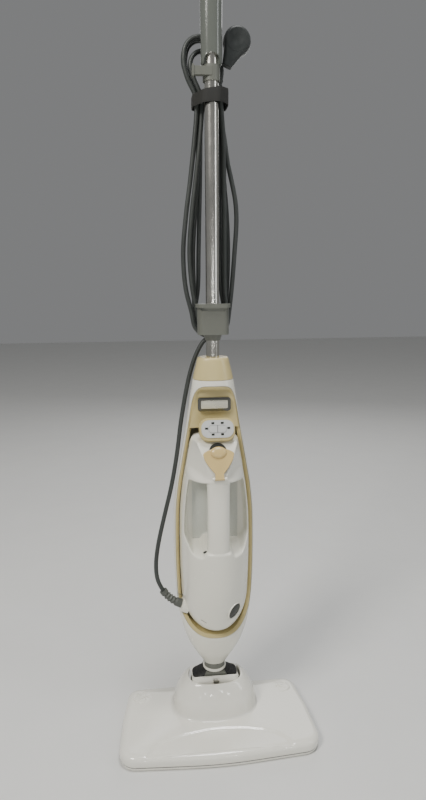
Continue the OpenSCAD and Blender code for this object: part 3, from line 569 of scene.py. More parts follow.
def circuit(name):
    """Green circuit board with paler tracks."""
    t = Tree(name)
    cells = t.nodes.new("ShaderNodeTexVoronoi")
    cells.feature = "DISTANCE_TO_EDGE"
    cells.inputs["Scale"].default_value = 330
    t.join(t.place, cells.inputs["Vector"])
    edges = cells.outputs["Distance"]
    tone = t.ramp(edges, [(0.03, (0.10, 0.30, 0.14)), (0.09, (0.02, 0.11, 0.05))])
    return t.finish(tone, t.remap(t.noise(200, 3), 0.3, 0.7, 0.3, 0.5), t.bump(edges, 0.00004, 0.5))


GREY_DUST = (0.22, 0.22, 0.2)


def make_materials():
    return {
        "white": plastic("white_gloss", (0.80, 0.785, 0.69), rough=0.22, mottle=0.035, coat=0.3),
        "head_white": plastic("head_gloss", (0.82, 0.805, 0.725), rough=0.13, mottle=0.03, coat=0.5),
        "beige": plastic("beige_satin", (0.60, 0.50, 0.24), rough=0.32, mottle=0.08, coat=0.15),
        "gold": plastic("gold_satin", (0.62, 0.46, 0.20), rough=0.22, mottle=0.07, coat=0.3),
        "mid_grey": plastic("grey_moulding", (0.135, 0.14, 0.12), 0.42, 0.08, grain=0.09, dust=GREY_DUST),
        "pale_grey": plastic("pale_moulding", (0.56, 0.57, 0.56), rough=0.34, mottle=0.04, grain=0.05),
        "grip_grey": plastic("grip_gloss", (0.12, 0.13, 0.115), rough=0.16, mottle=0.07, coat=0.5),
        "cable": rubber("cable_sheath", (0.036, 0.041, 0.038), 0.46),
        "relief": rubber("relief_rubber", (0.085, 0.09, 0.08), 0.5),
        "plug": rubber("plug_rubber", (0.026, 0.03, 0.029), 0.4),
        "black": rubber("black_rubber", (0.012, 0.012, 0.012), 0.6),
        "dark_lens": lens("dark_lens", (0.028, 0.03, 0.025)),
        "steel": metal("plain_steel", (0.62, 0.61, 0.58), 0.3, (1, 1, 1), 300),
        "pole": metal("pole_steel", (0.74, 0.72, 0.66), 0.2, (1, 1, 0.012), 1400),
        # Painted reflection: the chrome's base colour is darkened to stand in for the dark surroundings
        # that the badge frame reflects
        "chrome": metal("chrome_painted_dark_reflection", (0.17, 0.17, 0.155), 0.1, (1, 1, 1), 120),
        "brass": metal("turned_brass", (0.66, 0.50, 0.22), 0.26, (1, 0.02, 1), 900),
        "clear": clear_plastic("tank_clear", (0.80, 0.87, 0.90)),
        "board": circuit("circuit_board"),
        "textile": hook_tape("hook_tape", (0.022, 0.022, 0.02)),
        "plate": metal("badge_plate", (0.86, 0.84, 0.72), 0.3, (0.03, 1, 1), 700),
        # Painted shade: a near-black material for pieces set deep in holes, standing in for the shade there
        "hollow": plastic("painted_hollow_shade", (0.03, 0.032, 0.028), rough=0.6, mottle=0.2),
    }


def dress(thing, body, material):
    """Gives a new piece its material and the body that it moves with."""
    thing.data.materials.clear()
    thing.data.materials.append(material)
    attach(thing, body)


def keep(node, material, bevel):
    """A CAD node that keeps its shape: its flats are joined up, its edges rounded, and it is painted."""
    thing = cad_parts[node]
    thing.data.materials.clear()
    thing.data.materials.append(material)
    shade(thing, 30)
    if bevel:
        join_flats(thing)
        soften(thing, bevel, 30)


# ---- Mains lead ----

CORD_D = 6.5
LEAD = [
    [-80, 14, 238.9], [-83.6, 14, 245.4], [-86.6, 14, 252.4], [-88.6, 14.5, 260], [-89.6, 15.5, 268],
    [-89.8, 17, 278], [-88.6, 19, 292], [-86, 21.5, 308], [-82, 24, 326], [-76.5, 26.5, 348],
    [-70.5, 29, 371], [-64.5, 31.5, 394], [-59.5, 34, 417], [-55, 37, 441], [-51, 40, 466],
    [-47.5, 43, 491], [-43, 46, 516], [-38, 48.5, 541], [-32, 51, 566], [-24.5, 53, 589],
    [-17, 53.5, 605], [-10, 53.5, 615.5], [-3, 53, 620], [6, 53, 624.5], [13, 53, 631], [18, 53, 641],
]
# The folds lie in four layers behind the pole, up on the right and down on the left
LAYERS = [46.4, 53.0, 59.6, 66.2]
LEVELS = [655, 690, 740, 790, 840, 890, 925, 945, 968, 986]
FOLD_TOP, FOLD_BOTTOM = 1021, 621.5
# Each fold: x up the right side, x down the left side, its layers going up, coming down and leaving,
# and the heights of its top and bottom
FOLDS = [
    (
        [20, 15.5, 13.5, 13, 13, 12.5, 8, 4, 3.5, 5.5], [23, 24, 25, 22, 18, 16, 16, 17, 27, 35],
        (1, 1, 2), FOLD_TOP, FOLD_BOTTOM,
    ),
    (
        [22, 25, 26.5, 25, 21, 17, 13.5, 12, 10, 9.5], [22, 17.5, 16.5, 15, 13.5, 12.5, 12, 12, 24, 32],
        (2, 2, 3), FOLD_TOP, FOLD_BOTTOM,
    ),
    (
        [22, 18.5, 17.5, 17, 16.5, 16, 17, 16.5, 16, 19],
        [20, 27, 30.5, 27, 20.5, 14.5, 11.5, 11.5, 21.5, 27], (3, 0, 0), 1008, 628.8,
    ),
    (
        [22, 20, 19.8, 19.5, 19, 18.5, 16, 14.5, 8.5, 8], [28, 36.5, 39.5, 35, 28, 22, 18.5, 18.5, 30, 35],
        (0, 0, 0), FOLD_TOP, FOLD_BOTTOM,
    ),
]
# A strand changes layer below this height, over this run
LAYER_CHANGE_Z, LAYER_CHANGE_RUN = 740, 85
TAIL = [
    [27, 655], [31, 690], [35, 740], [37.8, 785], [36.3, 812], [31, 838], [25.5, 862], [21.3, 890],
    [15.5, 925], [12.3, 940], [11.3, 952], [12.7, 962], [16.04, 969.67],
]
TAIL_TURN_Z, TAIL_TURN_RUN = 952, 17
TAIL_END_Y = 51.5
ROUTE_STEP, ROUTE_PASSES = 3.0, 6


TURN_POINTS = 5


def half_turn(x0, x1, peak, up, y0, y1, delay):
    """Points of a half turn between two runs; up is 1 over the top and -1 under the bottom."""
    centre, w = (x0 + x1) / 2, abs(x1 - x0) / 2
    side = 1 if x1 > x0 else -1
    out = []
    for k in range(1, TURN_POINTS + 1):
        t = k / (TURN_POINTS + 1)
        x = centre - side * w * math.cos(math.pi * t)
        y = y0 + (y1 - y0) * float(ease((t - delay) / (1 - delay)))
        out.append([x, y, peak + up * w * (math.sin(math.pi * t) - 1)])
    return out


def cord_route():
    """The lead's centreline: from the strain relief to the hooks, through the folds and up to the plug."""
    route = [list(p) for p in LEAD]
    for k, (right, left, (rise, fall, leave), top, bottom) in enumerate(FOLDS):
        route += [[x, LAYERS[rise], z] for x, z in zip(right, LEVELS)]
        width = (right[-1] + left[-1]) / 2
        delay = 0.25 if rise != fall else 0
        over = half_turn(right[-1], -left[-1], top, 1, LAYERS[rise], LAYERS[fall], delay)
        if top - width > LEVELS[-1] + 4:
            over = [[right[-1], LAYERS[rise], top - width], *over, [-left[-1], LAYERS[fall], top - width]]
        route += over
        for x, z in list(zip(left, LEVELS))[::-1]:
            shift = float(ease((LAYER_CHANGE_Z - z) / LAYER_CHANGE_RUN))
            route.append([-x, LAYERS[fall] + (LAYERS[leave] - LAYERS[fall]) * shift, z])
        last = k == len(FOLDS) - 1
        next_x = TAIL[0][0] if last else FOLDS[k + 1][0][0]
        next_y = LAYERS[1] if last else LAYERS[FOLDS[k + 1][2][0]]
        route += half_turn(-left[0], next_x, bottom, -1, LAYERS[leave], next_y, 0.6 if last else 0)
    for x, z in TAIL:
        turned = float(ease((z - TAIL_TURN_Z) / TAIL_TURN_RUN))
        route.append([x, LAYERS[1] + (TAIL_END_Y - LAYERS[1]) * turned, z])
    line = spline(route, ROUTE_STEP)
    for _ in range(ROUTE_PASSES):
        line[1:-1] = 0.25 * line[:-2] + 0.5 * line[1:-1] + 0.25 * line[2:]
    return line


def make_cord(paint):
    line = cord_route()
    length = float(np.linalg.norm(np.diff(line, axis=0), axis=1).sum())
    lead = tube("mains_lead", line, CORD_D / 2, 14)
    lead.data.materials.append(paint["cable"])
    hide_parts("cord_lead", "cord_hank")
    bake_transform(lead)
    return lead, line, length


# ---- Shape of the cradle and of the steam unit, as in the CAD ----

CRADLE_Z0, CRADLE_Z1, COLLAR_Z1 = 107, 562, 594
HALF_W = 61.5
WIDTHS = [
    [107, 18], [120, 26], [134, 34.5], [150, 42.5], [177, 51], [200, 55.5], [227, 58.7], [260, 60.8],
    [300, HALF_W], [340, HALF_W - 0.3], [370, 60], [405, 56.3], [420, 53.8], [450, 48.5],
    [492, 41], [520, 36.6], [550, 31.7], [562, 29.6], [594, 22],
]
FRONTS = [
    [107, 17.5], [134, 31], [168, 43], [200, 41], [250, 30], [330, 23], [400, 22], [480, 24],
    [550, 24.5], [562, 23.5], [594, 19],
]
BACKS = [
    [107, 17.5], [134, 28], [177, 39], [227, 45], [290, 47.5], [370, 47.5], [450, 42], [520, 33],
    [562, 26], [594, 19],
]
OPENING_Z0, OPENING_Z1 = 168, 554
BOWL_Z, ARCH_Z = 250, 500
# Points up each side of the opening, and the share of them on the level foot and top of the seam
OUTLINE_STEPS, SEAM_FOOT = 90, 0.1
RIM = 2.5
SQUARENESS = 2.2
BOWL_SQUARENESS = 2.55
WALL = 2.4
UNIT_Z0, UNIT_Z1 = 175.5, 484
UNIT_FRONTS = [
    [175.5, 22], [181, 41], [190, 53], [215, 64], [250, 71.5], [290, 75], [330, 76], [400, 76],
    [430, 75], [455, 67], [484, 47],
]
UNIT_GAP = 6.2


def cradle_w(z):
    return curve(WIDTHS, z)


def cradle_reach(x, z):
    return curve(FRONTS, z) * arch(x / cradle_w(z), SQUARENESS)


def opening_w(z):
    z = np.asarray(z, float)
    below = np.clip((BOWL_Z - z) / (BOWL_Z - OPENING_Z0), 0, 1)
    bowl = (cradle_w(BOWL_Z) - RIM) * arch(below, BOWL_SQUARENESS)
    top = (cradle_w(z) - RIM) * arch(np.clip((z - ARCH_Z) / (OPENING_Z1 - ARCH_Z), 0, 1), 5)
    return np.where(z < BOWL_Z, bowl, top)


def unit_w(z):
    z = np.asarray(z, float)
    full = cradle_w(np.maximum(z, BOWL_Z)) - RIM - UNIT_GAP
    bowl = arch(np.clip((BOWL_Z - z) / (BOWL_Z - UNIT_Z0), 0, 1), BOWL_SQUARENESS)
    shoulder = arch(np.clip((z - UNIT_Z1 + 12) / 12, 0, 1), 3.2)
    return full * np.where(z < BOWL_Z, bowl, shoulder)


def half_loop(w, depth, side, n, squareness=SQUARENESS):
    """Half of a squared ellipse, from the right flank to the left; side is 1 behind the pole."""
    a = np.linspace(0, math.pi, n + 1)
    return np.column_stack([
        w * signed_power(np.cos(a), 2 / squareness),
        side * depth * np.maximum(0, np.sin(a)) ** (2 / squareness),
    ])


def both_sides(x, z):
    """Closed outline from its right half, which runs from the lowest point to the highest."""
    right = np.column_stack([x, z])
    return np.vstack([right, right[-2:0:-1] * [-1, 1]])


def opening_outline():
    """The cradle's opening in the front view, anticlockwise from its lowest point."""
    k = np.arange(OUTLINE_STEPS + 1)
    z = OPENING_Z0 + (OPENING_Z1 - OPENING_Z0) * (1 - np.cos(math.pi * k / OUTLINE_STEPS)) / 2
    return both_sides(opening_w(z), z)


def seam_outline():
    """Edge of the front frame where it meets the rear shell, point for point with the opening."""
    s = np.arange(OUTLINE_STEPS + 1) / OUTLINE_STEPS
    along = (s - SEAM_FOOT) / (1 - 2 * SEAM_FOOT)
    z = np.clip(CRADLE_Z0 + (CRADLE_Z1 - CRADLE_Z0) * along, CRADLE_Z0, CRADLE_Z1)
    return both_sides(cradle_w(z) * np.clip(np.minimum(s, 1 - s) / SEAM_FOOT, 0, 1), z)


# The cable boss on the unit's left flank
BOSS_AT = np.array([-44, POLE_Y - 15, 212.0])
BOSS_LEAN = 70
BOSS_R = 12.6
BOSS_DIR = np.array([-math.sin(math.radians(BOSS_LEAN)), 0, math.cos(math.radians(BOSS_LEAN))])
BOSS_ROOM = 1


def boss_notch():
    """Cutter for the room in the cradle's rim that lets the boss slide out to the front."""
    r = BOSS_R + BOSS_ROOM
    arc = [[r * math.cos(a), r * math.sin(a)] for a in np.linspace(0, math.pi, 24)]
    loop = np.array([[r, -60], *arc, [-r, -60]])
    return prism("notch", loop, -6, 60, place_at(*BOSS_AT, (-BOSS_LEAN, "Y")))


# ---- Cradle ----

SEAM_GAP = 0.02


def make_rear_shell(paint):
    rows = []
    for z in np.linspace(CRADLE_Z0, CRADLE_Z1, 130):
        w, depth = float(cradle_w(z)), float(curve(BACKS, z))
        outer = half_loop(w, depth, 1, 56)
        inner = half_loop(w - WALL, depth - WALL, 1, 56)[::-1]
        inner[:, 1] = np.maximum(0.3, inner[:, 1])
        rows.append(about_pole(np.vstack([outer, inner]) + [0, SEAM_GAP], z))
    shell = loft("cradle_rear", rows, caps=True)
    soften(shell, 0.5, 45)
    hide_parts("cradle_rear_shell")
    dress(shell, "stick", paint["white"])


def make_front_frame(paint):
    opening, seam = opening_outline(), seam_outline()
    parts = np.concatenate([np.linspace(0, 0.9, 12), [0.95, 0.985, 1.0]])
    rows = []
    for o, s in zip(opening, seam):
        outer, inner = [], []
        for q in parts:
            p = s + (o - s) * q
            reach = float(cradle_reach(p[0], p[1]))
            roll = 0.9 * max(0.0, (q - 0.9) / 0.1) ** 2
            outer.append([p[0], POLE_Y - max(0.0, reach - roll), p[1]])
            x = p[0] * (1 - (1 - q) * WALL / float(cradle_w(p[1])))
            inner.append([x, POLE_Y - max(0.0, reach - WALL), p[1]])
        rows.append(inner + outer[::-1])
    shell = loft("cradle_front", rows, 50, loop=True)
    cut(shell, [boss_notch()], smooth=50)
    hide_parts("cradle_front_frame")
    dress(shell, "stick", paint["white"])


LINER_W = 5.4
LINER_DEPTH = 11
PANEL_REACH, PANEL_T = 12, 3
PANEL_Z0, PANEL_Z1, PANEL_INSET = 492, 551, 2.5


def make_liner(paint):
    opening = opening_outline()
    outer, middle, inner = shrink(opening, 0.4), shrink(opening, 2.6), shrink(opening, LINER_W)
    rows = []
    for o, a, m, b in zip(opening, outer, middle, inner):
        y = POLE_Y - float(cradle_reach(o[0], o[1]))
        back = max(y + LINER_DEPTH, POLE_Y - PANEL_REACH + PANEL_T)
        rows.append([
            [a[0], back, a[1]], [b[0], back, b[1]], [b[0], y + 5.0, b[1]], [b[0] * 1.002, y + 3.6, b[1]],
            [m[0], y + 1.4, m[1]], [(a[0] + m[0]) / 2, y + 0.8, (a[1] + m[1]) / 2], [a[0], y + 1.2, a[1]],
        ])
    liner = loft("liner_band", rows, 50, loop=True)
    z = np.linspace(PANEL_Z0, PANEL_Z1, 30)
    right = np.column_stack([opening_w(z) - PANEL_INSET, z])
    loop = np.vstack([right, right[::-1] * [-1, 1]])
    panel = prism("liner_panel", loop, 0, PANEL_T, facing(0, PANEL_REACH - PANEL_T, 0))
    cut(liner, [panel], "UNION", 50)
    cut(liner, [boss_notch()], smooth=50)
    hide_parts("dock_liner")
    dress(liner, "stick", paint["beige"])


# Heights and insets of the collar's outside, up to its rounded top edge
COLLAR = [
    (562.3, 0.7), (562.9, 0.1), (566, 0), (572, 0), (578, 0), (584, 0), (589, 0), (592, 0.1),
    (593.2, 0.6), (593.8, 1.4), (COLLAR_Z1, 2.6),
]
COLLAR_BORE = 9.7


def make_collar(paint):
    """Tapered collar round the pole, with a rounded top edge and a bore."""
    n = 96
    front = circle(1, n)[:, 1] < 0
    rows = []
    for z, inset in COLLAR:
        depth = np.where(front, curve(FRONTS, z), curve(BACKS, z)) - inset
        ring = squared_ring(float(cradle_w(z)) - inset, depth, 2 / SQUARENESS, 2 / SQUARENESS, n)
        rows.append(about_pole(ring, z))
    for z in (593.6, 582):
        rows.append(about_pole(circle(COLLAR_BORE, n), z))
    collar = loft("collar", rows, 40)
    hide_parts("top_collar")
    dress(collar, "stick", paint["beige"])


# ---- Steam unit ----

SCOOP_Z0, SCOOP_Z1, SCOOP_RIM = 311.5, 428.1, 4
HANDLE_W, HANDLE_REACH = 33, 77
BAR_Z0, BAR_Z1 = 292, 442
UNIT_VOXEL, UNIT_PASSES = 0.95, 8


def finger_scoop(x, z):
    """The hollow where the fingers go, with a thin rim outside it: 0 on the plain front, 1 on its floor."""
    side = np.abs(x)
    low = SCOOP_Z0 + 8 * ease((24 - side) / 8) + 20 * ease((side - 33) / 17)
    high = SCOOP_Z1 - 0.15 * side
    return ease((z - low) / 9.5) * ease((high - z) / 4.6) * ease((unit_w(z) - SCOOP_RIM - side) / 4.5)


def unit_reach(x, z):
    """Front of the unit's body: rounded below, with a flat V-shaped facet for the flap above."""
    w = np.maximum(0.5, unit_w(z))
    full = curve(UNIT_FRONTS, z)
    round_part = full * np.sqrt(np.maximum(0, 1 - (x / w) ** 2))
    v = np.clip(8 + 23 * (z - 430) / 54, 6, np.maximum(6, w - 4))
    u = np.clip((np.abs(x) - v) / np.maximum(1, w - v), 0, 1)
    facet = 12 + (full - 12) * np.maximum(0, 1 - u) ** 0.8
    blend = ease((z - 426) / 14)
    close = 0.6 + 0.4 * arch(np.clip((z - 478) / 6, 0, 1), 2)
    front = (round_part + (facet - round_part) * blend) * close
    floor = 17 - 3 * arch(x / 46, 2)
    return front - np.maximum(0, front - floor) * finger_scoop(x, z)


def make_unit_body():
    rows = []
    a = np.linspace(0, math.pi, 121)
    for z in np.arange(UNIT_Z0 + 0.5, UNIT_Z1 - 0.3, 1.0):
        w = float(unit_w(z))
        x = w * np.cos(a)
        front = np.column_stack([x, -unit_reach(x, np.full_like(x, z))])
        back_x = np.linspace(-w, w, 31)[1:-1]
        back = np.column_stack([back_x, np.zeros_like(back_x)])
        rows.append(about_pole(np.vstack([front, back]), z))
    return loft("unit_body", rows, caps=True)


def make_handle_bar():
    """Upright bar that flares at both ends and is set back a little there."""
    rows = []
    for t in np.linspace(-1, 1, 60):
        z = (BAR_Z0 + BAR_Z1 + (BAR_Z1 - BAR_Z0) * t) / 2
        w = HANDLE_W / 2 - 0.6 + 3 * abs(t) ** 5
        centre = HANDLE_REACH - 15.4 - 2.5 * t ** 2
        rows.append(about_pole(squared_ring(w, 14, 0.85, 0.9, 60) - [0, centre], z))
    return loft("bar", rows, caps=True)


HINGE_AT = (0, -47, 434)
SLOPE_LEAN = 24
# Up the slope from the hinge: the middle of the finger hole and of the filling mouth
FINGER_UP, MOUTH_UP = 38.5, 19


def on_slope(up=0, out=0):
    """Matrix of the flap's plane, up from the hinge and out from the plane."""
    return lifted(place_at(*HINGE_AT, (90 - SLOPE_LEAN, "X")), 0, up, out)


def make_unit_shell(paint):
    """Body and handle bar as one moulding, remeshed so that they run into each other."""
    body = make_unit_body()
    cut(body, [make_handle_bar()], "UNION")
    melt(body, UNIT_VOXEL, UNIT_PASSES)
    flap_seat = resample(rounded(FLAP, 8), 1.5)
    cutters = [
        prism("finger_hole", circle(12.6), -9, 12, on_slope(FINGER_UP)),
        prism("seat", shrink(flap_seat, -0.7), -1.2, 12, on_slope()),
        prism("window_seat", circle(14.2, 64, 11.8), -1.5, 12, surface_place(*WINDOW_SPOT)),
        prism("slot", rounded_box(5, 1.2, 1, 5), -3, 8, surface_place(*SLOT_SPOT)),
        prism("drain_mouth", circle(1.9, 32, 4.6), 0, 6, surface_place(*DRAIN_SPOT)),
        prism("filler_mouth", circle(6.5), -24, 12, on_slope(MOUTH_UP)),
    ]
    cut(body, cutters, smooth=38)
    body.name = "unit_front"
    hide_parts("unit_front_shell", "handle_bar")
    dress(body, "steam_unit", paint["white"])


FLAP_HALF = [
    [6.3, -1.5, 0.6], [6.3, 7, 3], [13.2, 15.5, 14], [19.6, 25.5, 16],
    [22.2, 35.5, 3.6], [15, 39.6, 6], [9, 41.5, 3],
]
FLAP = FLAP_HALF + [[-x, y, r] for x, y, r in FLAP_HALF[::-1]]
# The thumb bump's outline shrinks as it rises
FLAP_BUMP = [
    [1.0, 0], [1.0, 0.34], [0.96, 0.55], [0.86, 0.74], [0.7, 0.88], [0.5, 0.96], [0.25, 0.99], [0.01, 1.0],
]
BUMP_R, BUMP_HALF_W, BUMP_H, BUMP_UP = 8.6, 11.6, 6.2, 36.2
# Places on the unit's front: x, z and turn
WINDOW_SPOT, SLOT_SPOT, DRAIN_SPOT = (24, 222, -25), (-22, 205, -22), (-19.4, 319, 40)


def surface_place(x, z, spin):
    """Matrix on the unit's front at x and z, square to the surface."""
    reach, beside, above = unit_reach(np.array([x, x + 1, x], float), np.array([z, z, z + 1], float))
    across = Vector((1, reach - beside, 0)).normalized()
    up = Vector((0, reach - above, 1)).normalized()
    out = across.cross(up).normalized()
    up = out.cross(across)
    m = Matrix((across, up, out)).transposed().to_4x4()
    m.translation = Vector((x, POLE_Y - reach, z)) * MM
    return m @ Matrix.Rotation(math.radians(spin), 4, "Z")


def dome_patch(name, outline, height, place):
    """Raised pad with a crowned top inside an outline."""
    centre = outline.mean(0)
    rows = [raise_to(outline, -1.0)]
    for t in np.linspace(1, 0.02, 10):
        rows.append(raise_to(centre + (outline - centre) * t, height * (1 - t ** 2)))
    thing = loft(name, rows, 50, caps=True)
    thing.data.transform(place)
    return thing


def make_flap(paint):
    """Heart-shaped filler flap with a crowned thumb bump and a soft edge."""
    outline = resample(rounded(FLAP, 8), 1.2)
    rows = [raise_to(shrink(outline, 0.4), 0.2), raise_to(outline, 0.8), raise_to(outline, 1.9)]
    for inset, z in ((0.35, 2.5), (0.9, 2.75), (1.6, 2.6)):
        rows.append(raise_to(shrink(outline, inset), z))
    flap = loft("flap_plate", rows, 50, caps=True)
    oval = circle(BUMP_R, 56, BUMP_HALF_W)
    bump = loft("flap_bump", [raise_to(oval * r, BUMP_H * h) for r, h in FLAP_BUMP], caps=True)
    bump.data.transform(place_at(0, BUMP_UP, 0))
    profile = [[1.3, -6.5], [2.4, -6.5], [2.4, 6.5], [1.3, 6.5]]
    barrel = turn("flap_barrel", profile, 32, place_at(0, 0, 0, (90, "Y")))
    cut(flap, [bump, barrel], "UNION", 35)
    flap.data.transform(on_slope(out=1.5))
    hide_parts("filler_flap")
    dress(flap, "filler_flap", paint["gold"])


def make_window(paint):
    """Oval gauge window in a raised rim."""
    rim_loop, glass_loop = circle(14.0, 64, 11.6), circle(12.6, 64, 10.2)
    rows = [
        raise_to(rim_loop, -1.4), raise_to(rim_loop, 0.2), raise_to(rim_loop * 0.97, 0.7),
        raise_to(glass_loop * 1.02, 0.5), raise_to(glass_loop, -0.3), raise_to(glass_loop, -1.4),
    ]
    place = surface_place(*WINDOW_SPOT)
    rim = loft("window_rim", rows, 40, loop=True)
    rim.data.transform(place)
    dress(rim, "steam_unit", paint["white"])
    glass = dome_patch("window_glass", glass_loop * 0.995, 0.5, lifted(place, 0, 0, -0.6))
    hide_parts("gauge_window")
    dress(glass, "steam_unit", paint["dark_lens"])


def make_small_openings(paint):
    """Dark pieces inside the lower slot, the drain slot and the finger hole above the flap; the ones in the
    drain slot and the finger hole are painted shade, dark patches standing in for the shade deep in those
    holes.
    """
    place = lifted(surface_place(*SLOT_SPOT), 0, 0, -1.2)
    lens_piece = dome_patch("slot_lens", rounded_box(4.8, 1.0, 0.9, 5), 0.4, place)
    dress(lens_piece, "steam_unit", paint["dark_lens"])
    # Painted shade: a dark patch at the bottom of the drain pit stands in for the shade inside it
    place = lifted(surface_place(*DRAIN_SPOT), 0, 0, 0.6)
    drain_shade = dome_patch("drain_painted_shade", circle(1.8, 32, 4.5), 0.2, place)
    dress(drain_shade, "steam_unit", paint["hollow"])
    # Painted shade: a dark disc deep in the finger hole stands in for the shade inside it
    hole_shade = prism("finger_hole_painted_shade", circle(12.4), -4.6, -3.4, on_slope(FINGER_UP))
    dress(hole_shade, "steam_unit", paint["hollow"])


POD_REACH, POD_Z, POD_TILT = 55, 500, 12
LAMPS = [(-6.6, 8.3), (6.6, 8.3), (-15.6, 1), (15.6, 1), (-6.6, -7.6), (6.6, -7.6)]
# A lamp pad's share of its outline at each height
LAMP_LEVELS = [(1, -0.6), (1, 0.3), (0.8, 0.5)]


def make_lamps(paint):
    """Six dark lamp windows on the pod, each a small crowned pad over its lamp."""
    loop = rounded_box(2.1, 1.4, 0.7)
    rows, faces = [], []
    for x, y in LAMPS:
        pad = [raise_to(loop * size + [x, y], z) for size, z in LAMP_LEVELS]
        points, more = join_rows(pad, caps=True)
        faces += [tuple(len(rows) + k for k in f) for f in more]
        rows += list(points)
    pads = make_object("lamp_windows", rows, faces)
    pads.data.transform(facing(0, POD_REACH, POD_Z, POD_TILT))
    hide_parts("status_lamps")
    dress(pads, "steam_unit", paint["dark_lens"])


RELIEF_END_LEAN, RELIEF_BEND_R = 30, 54
RELIEF_R, RELIEF_TAPER = 6.9, 0.9


def grooves(run, count, depth, first, last):
    """Depth of evenly spaced round grooves along a run from 0 to 1, between first and last."""
    wave = (0.5 - 0.5 * np.cos(run * 2 * math.pi * count)) ** 0.6
    return depth * wave * (run > first) * (run < last)


def make_relief(paint):
    """Ribbed strain relief that bends upwards from the boss."""
    lean = np.radians(np.linspace(BOSS_LEAN, RELIEF_END_LEAN, 64))
    bend = BOSS_AT + 8 * BOSS_DIR + RELIEF_BEND_R * np.column_stack([
        math.cos(lean[0]) - np.cos(lean), np.zeros(64), math.sin(lean[0]) - np.sin(lean),
    ])
    path = np.vstack([BOSS_AT + 3 * BOSS_DIR, BOSS_AT + 6 * BOSS_DIR, bend])
    run = np.linspace(0, 1, len(path))
    radii = RELIEF_R - RELIEF_TAPER * run - grooves(run, 7, 1.5, 0.28, 0.86)
    relief = tube("relief", path, radii, 28)
    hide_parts("strain_relief")
    dress(relief, "steam_unit", paint["relief"])


# ---- Mop head ----

HEAD_HALF_W, HEAD_HALF_D = 152, 81
HEAD_WALL = 2.2
# Insets and heights of the head's side, from its lower edge to the edge of the deck, and of its inside
HEAD_SIDE = [
    (0.9, 7.6), (0.3, 7.8), (0, 8.4), (0, 12), (0, 15.6), (0.25, 17.4), (0.9, 19.2), (2.0, 20.8),
    (3.6, 22.1), (5.4, 22.9), (7.2, 23.4), (9.0, 23.75),
]
HEAD_INSIDE = [(5.6, 20.9), (3.4, 18.5), (2.3, 15.6), (2.0, 9), (2.0, 7.6)]
DECK_INSET, DECK_Z, DECK_RISE, DECK_ROWS = 9.0, 23.75, 4.4, 34
# Levels of the dome: half width, reach to the front and to the back, and height
DOME_SQUARENESS = 2.5
DOME_FOOT = [70, 48, 46.4]
DOME = [
    [68.2, 46.9, 45.8, 28.8], [67.0, 46.0, 45.3, 30.4], [66.3, 45.4, 45.0, 33], [65.8, 44.9, 44.6, 37],
    [65.2, 44.3, 44.1, 41.5], [64.4, 43.5, 43.4, 46], [63.2, 42.5, 42.4, 51], [61.6, 41.2, 41.1, 56],
    [59.5, 39.6, 39.5, 61], [56.8, 37.7, 37.7, 66], [54.2, 36, 36, 70], [51.4, 34.3, 34.3, 73.6],
    [48.9, 32.8, 32.8, 76.3], [46.6, 31.4, 31.5, 78.4], [44.9, 30.4, 30.4, 79.6], [43.4, 29.4, 29.4, 80],
    [42.2, 28.6, 28.6, 79.8], [41.5, 28.1, 28.1, 79.0], [41.4, 28.0, 28.0, 77],
]
DOME_INSIDE_TOP = 11
YOKE_SLOT_HALF_W = 38.6
# Insets and heights round the edge of the sole plate and of the gasket
SOLE_EDGE = [(6.5, 0), (4.4, 0.15), (2.8, 0.9), (1.9, 2.2), (1.5, 3.6), (1.5, 5.2), (1.9, 6.0)]
GASKET_EDGE = [(5, 6.02), (1.2, 6.02), (0.8, 6.8), (1.2, 7.58), (5, 7.58)]
SOLE_SCREWS = [(-130, -55), (130, -55), (-122, 62), (122, 62), (-8, -66), (8, 66)]


def head_outline():
    w, d = HEAD_HALF_W, HEAD_HALF_D
    corners = [
        [0, -d - 1.9, 700], [w + 1.1, -d + 9, 27], [w - 3, 10, 300], [w - 13, d, 20],
        [13 - w, d, 20], [3 - w, 10, 300], [-w - 1.1, -d + 9, 27],
    ]
    return resample(rounded(corners, 40), 2.4)


def dome_loop(outline, w, front, back):
    """The dome's cross-section, point for point with the head's outline."""
    a = np.arctan2(outline[:, 1] - POLE_Y, outline[:, 0])
    c = (np.abs(np.cos(a)) / w) ** DOME_SQUARENESS
    s = (np.abs(np.sin(a)) / np.where(np.sin(a) < 0, front, back)) ** DOME_SQUARENESS
    r = (c + s) ** (-1 / DOME_SQUARENESS)
    return np.column_stack([r * np.cos(a), POLE_Y + r * np.sin(a)])


def front_panel_depth(points):
    """Depth of the shallow crescent in the head's front deck."""
    loop = rounded([
        [-115, -74, 1], [109, -74, 1], [105, -63, 8], [91, -48, 14], [68, -37.5, 40], [38, -31, 90],
        [-6, -28, 160], [-56, -34.5, 120], [-101, -50, 16],
    ], 16)
    return 2.0 * ease(distance_inside(points, resample(loop, 2)) / 3.4)


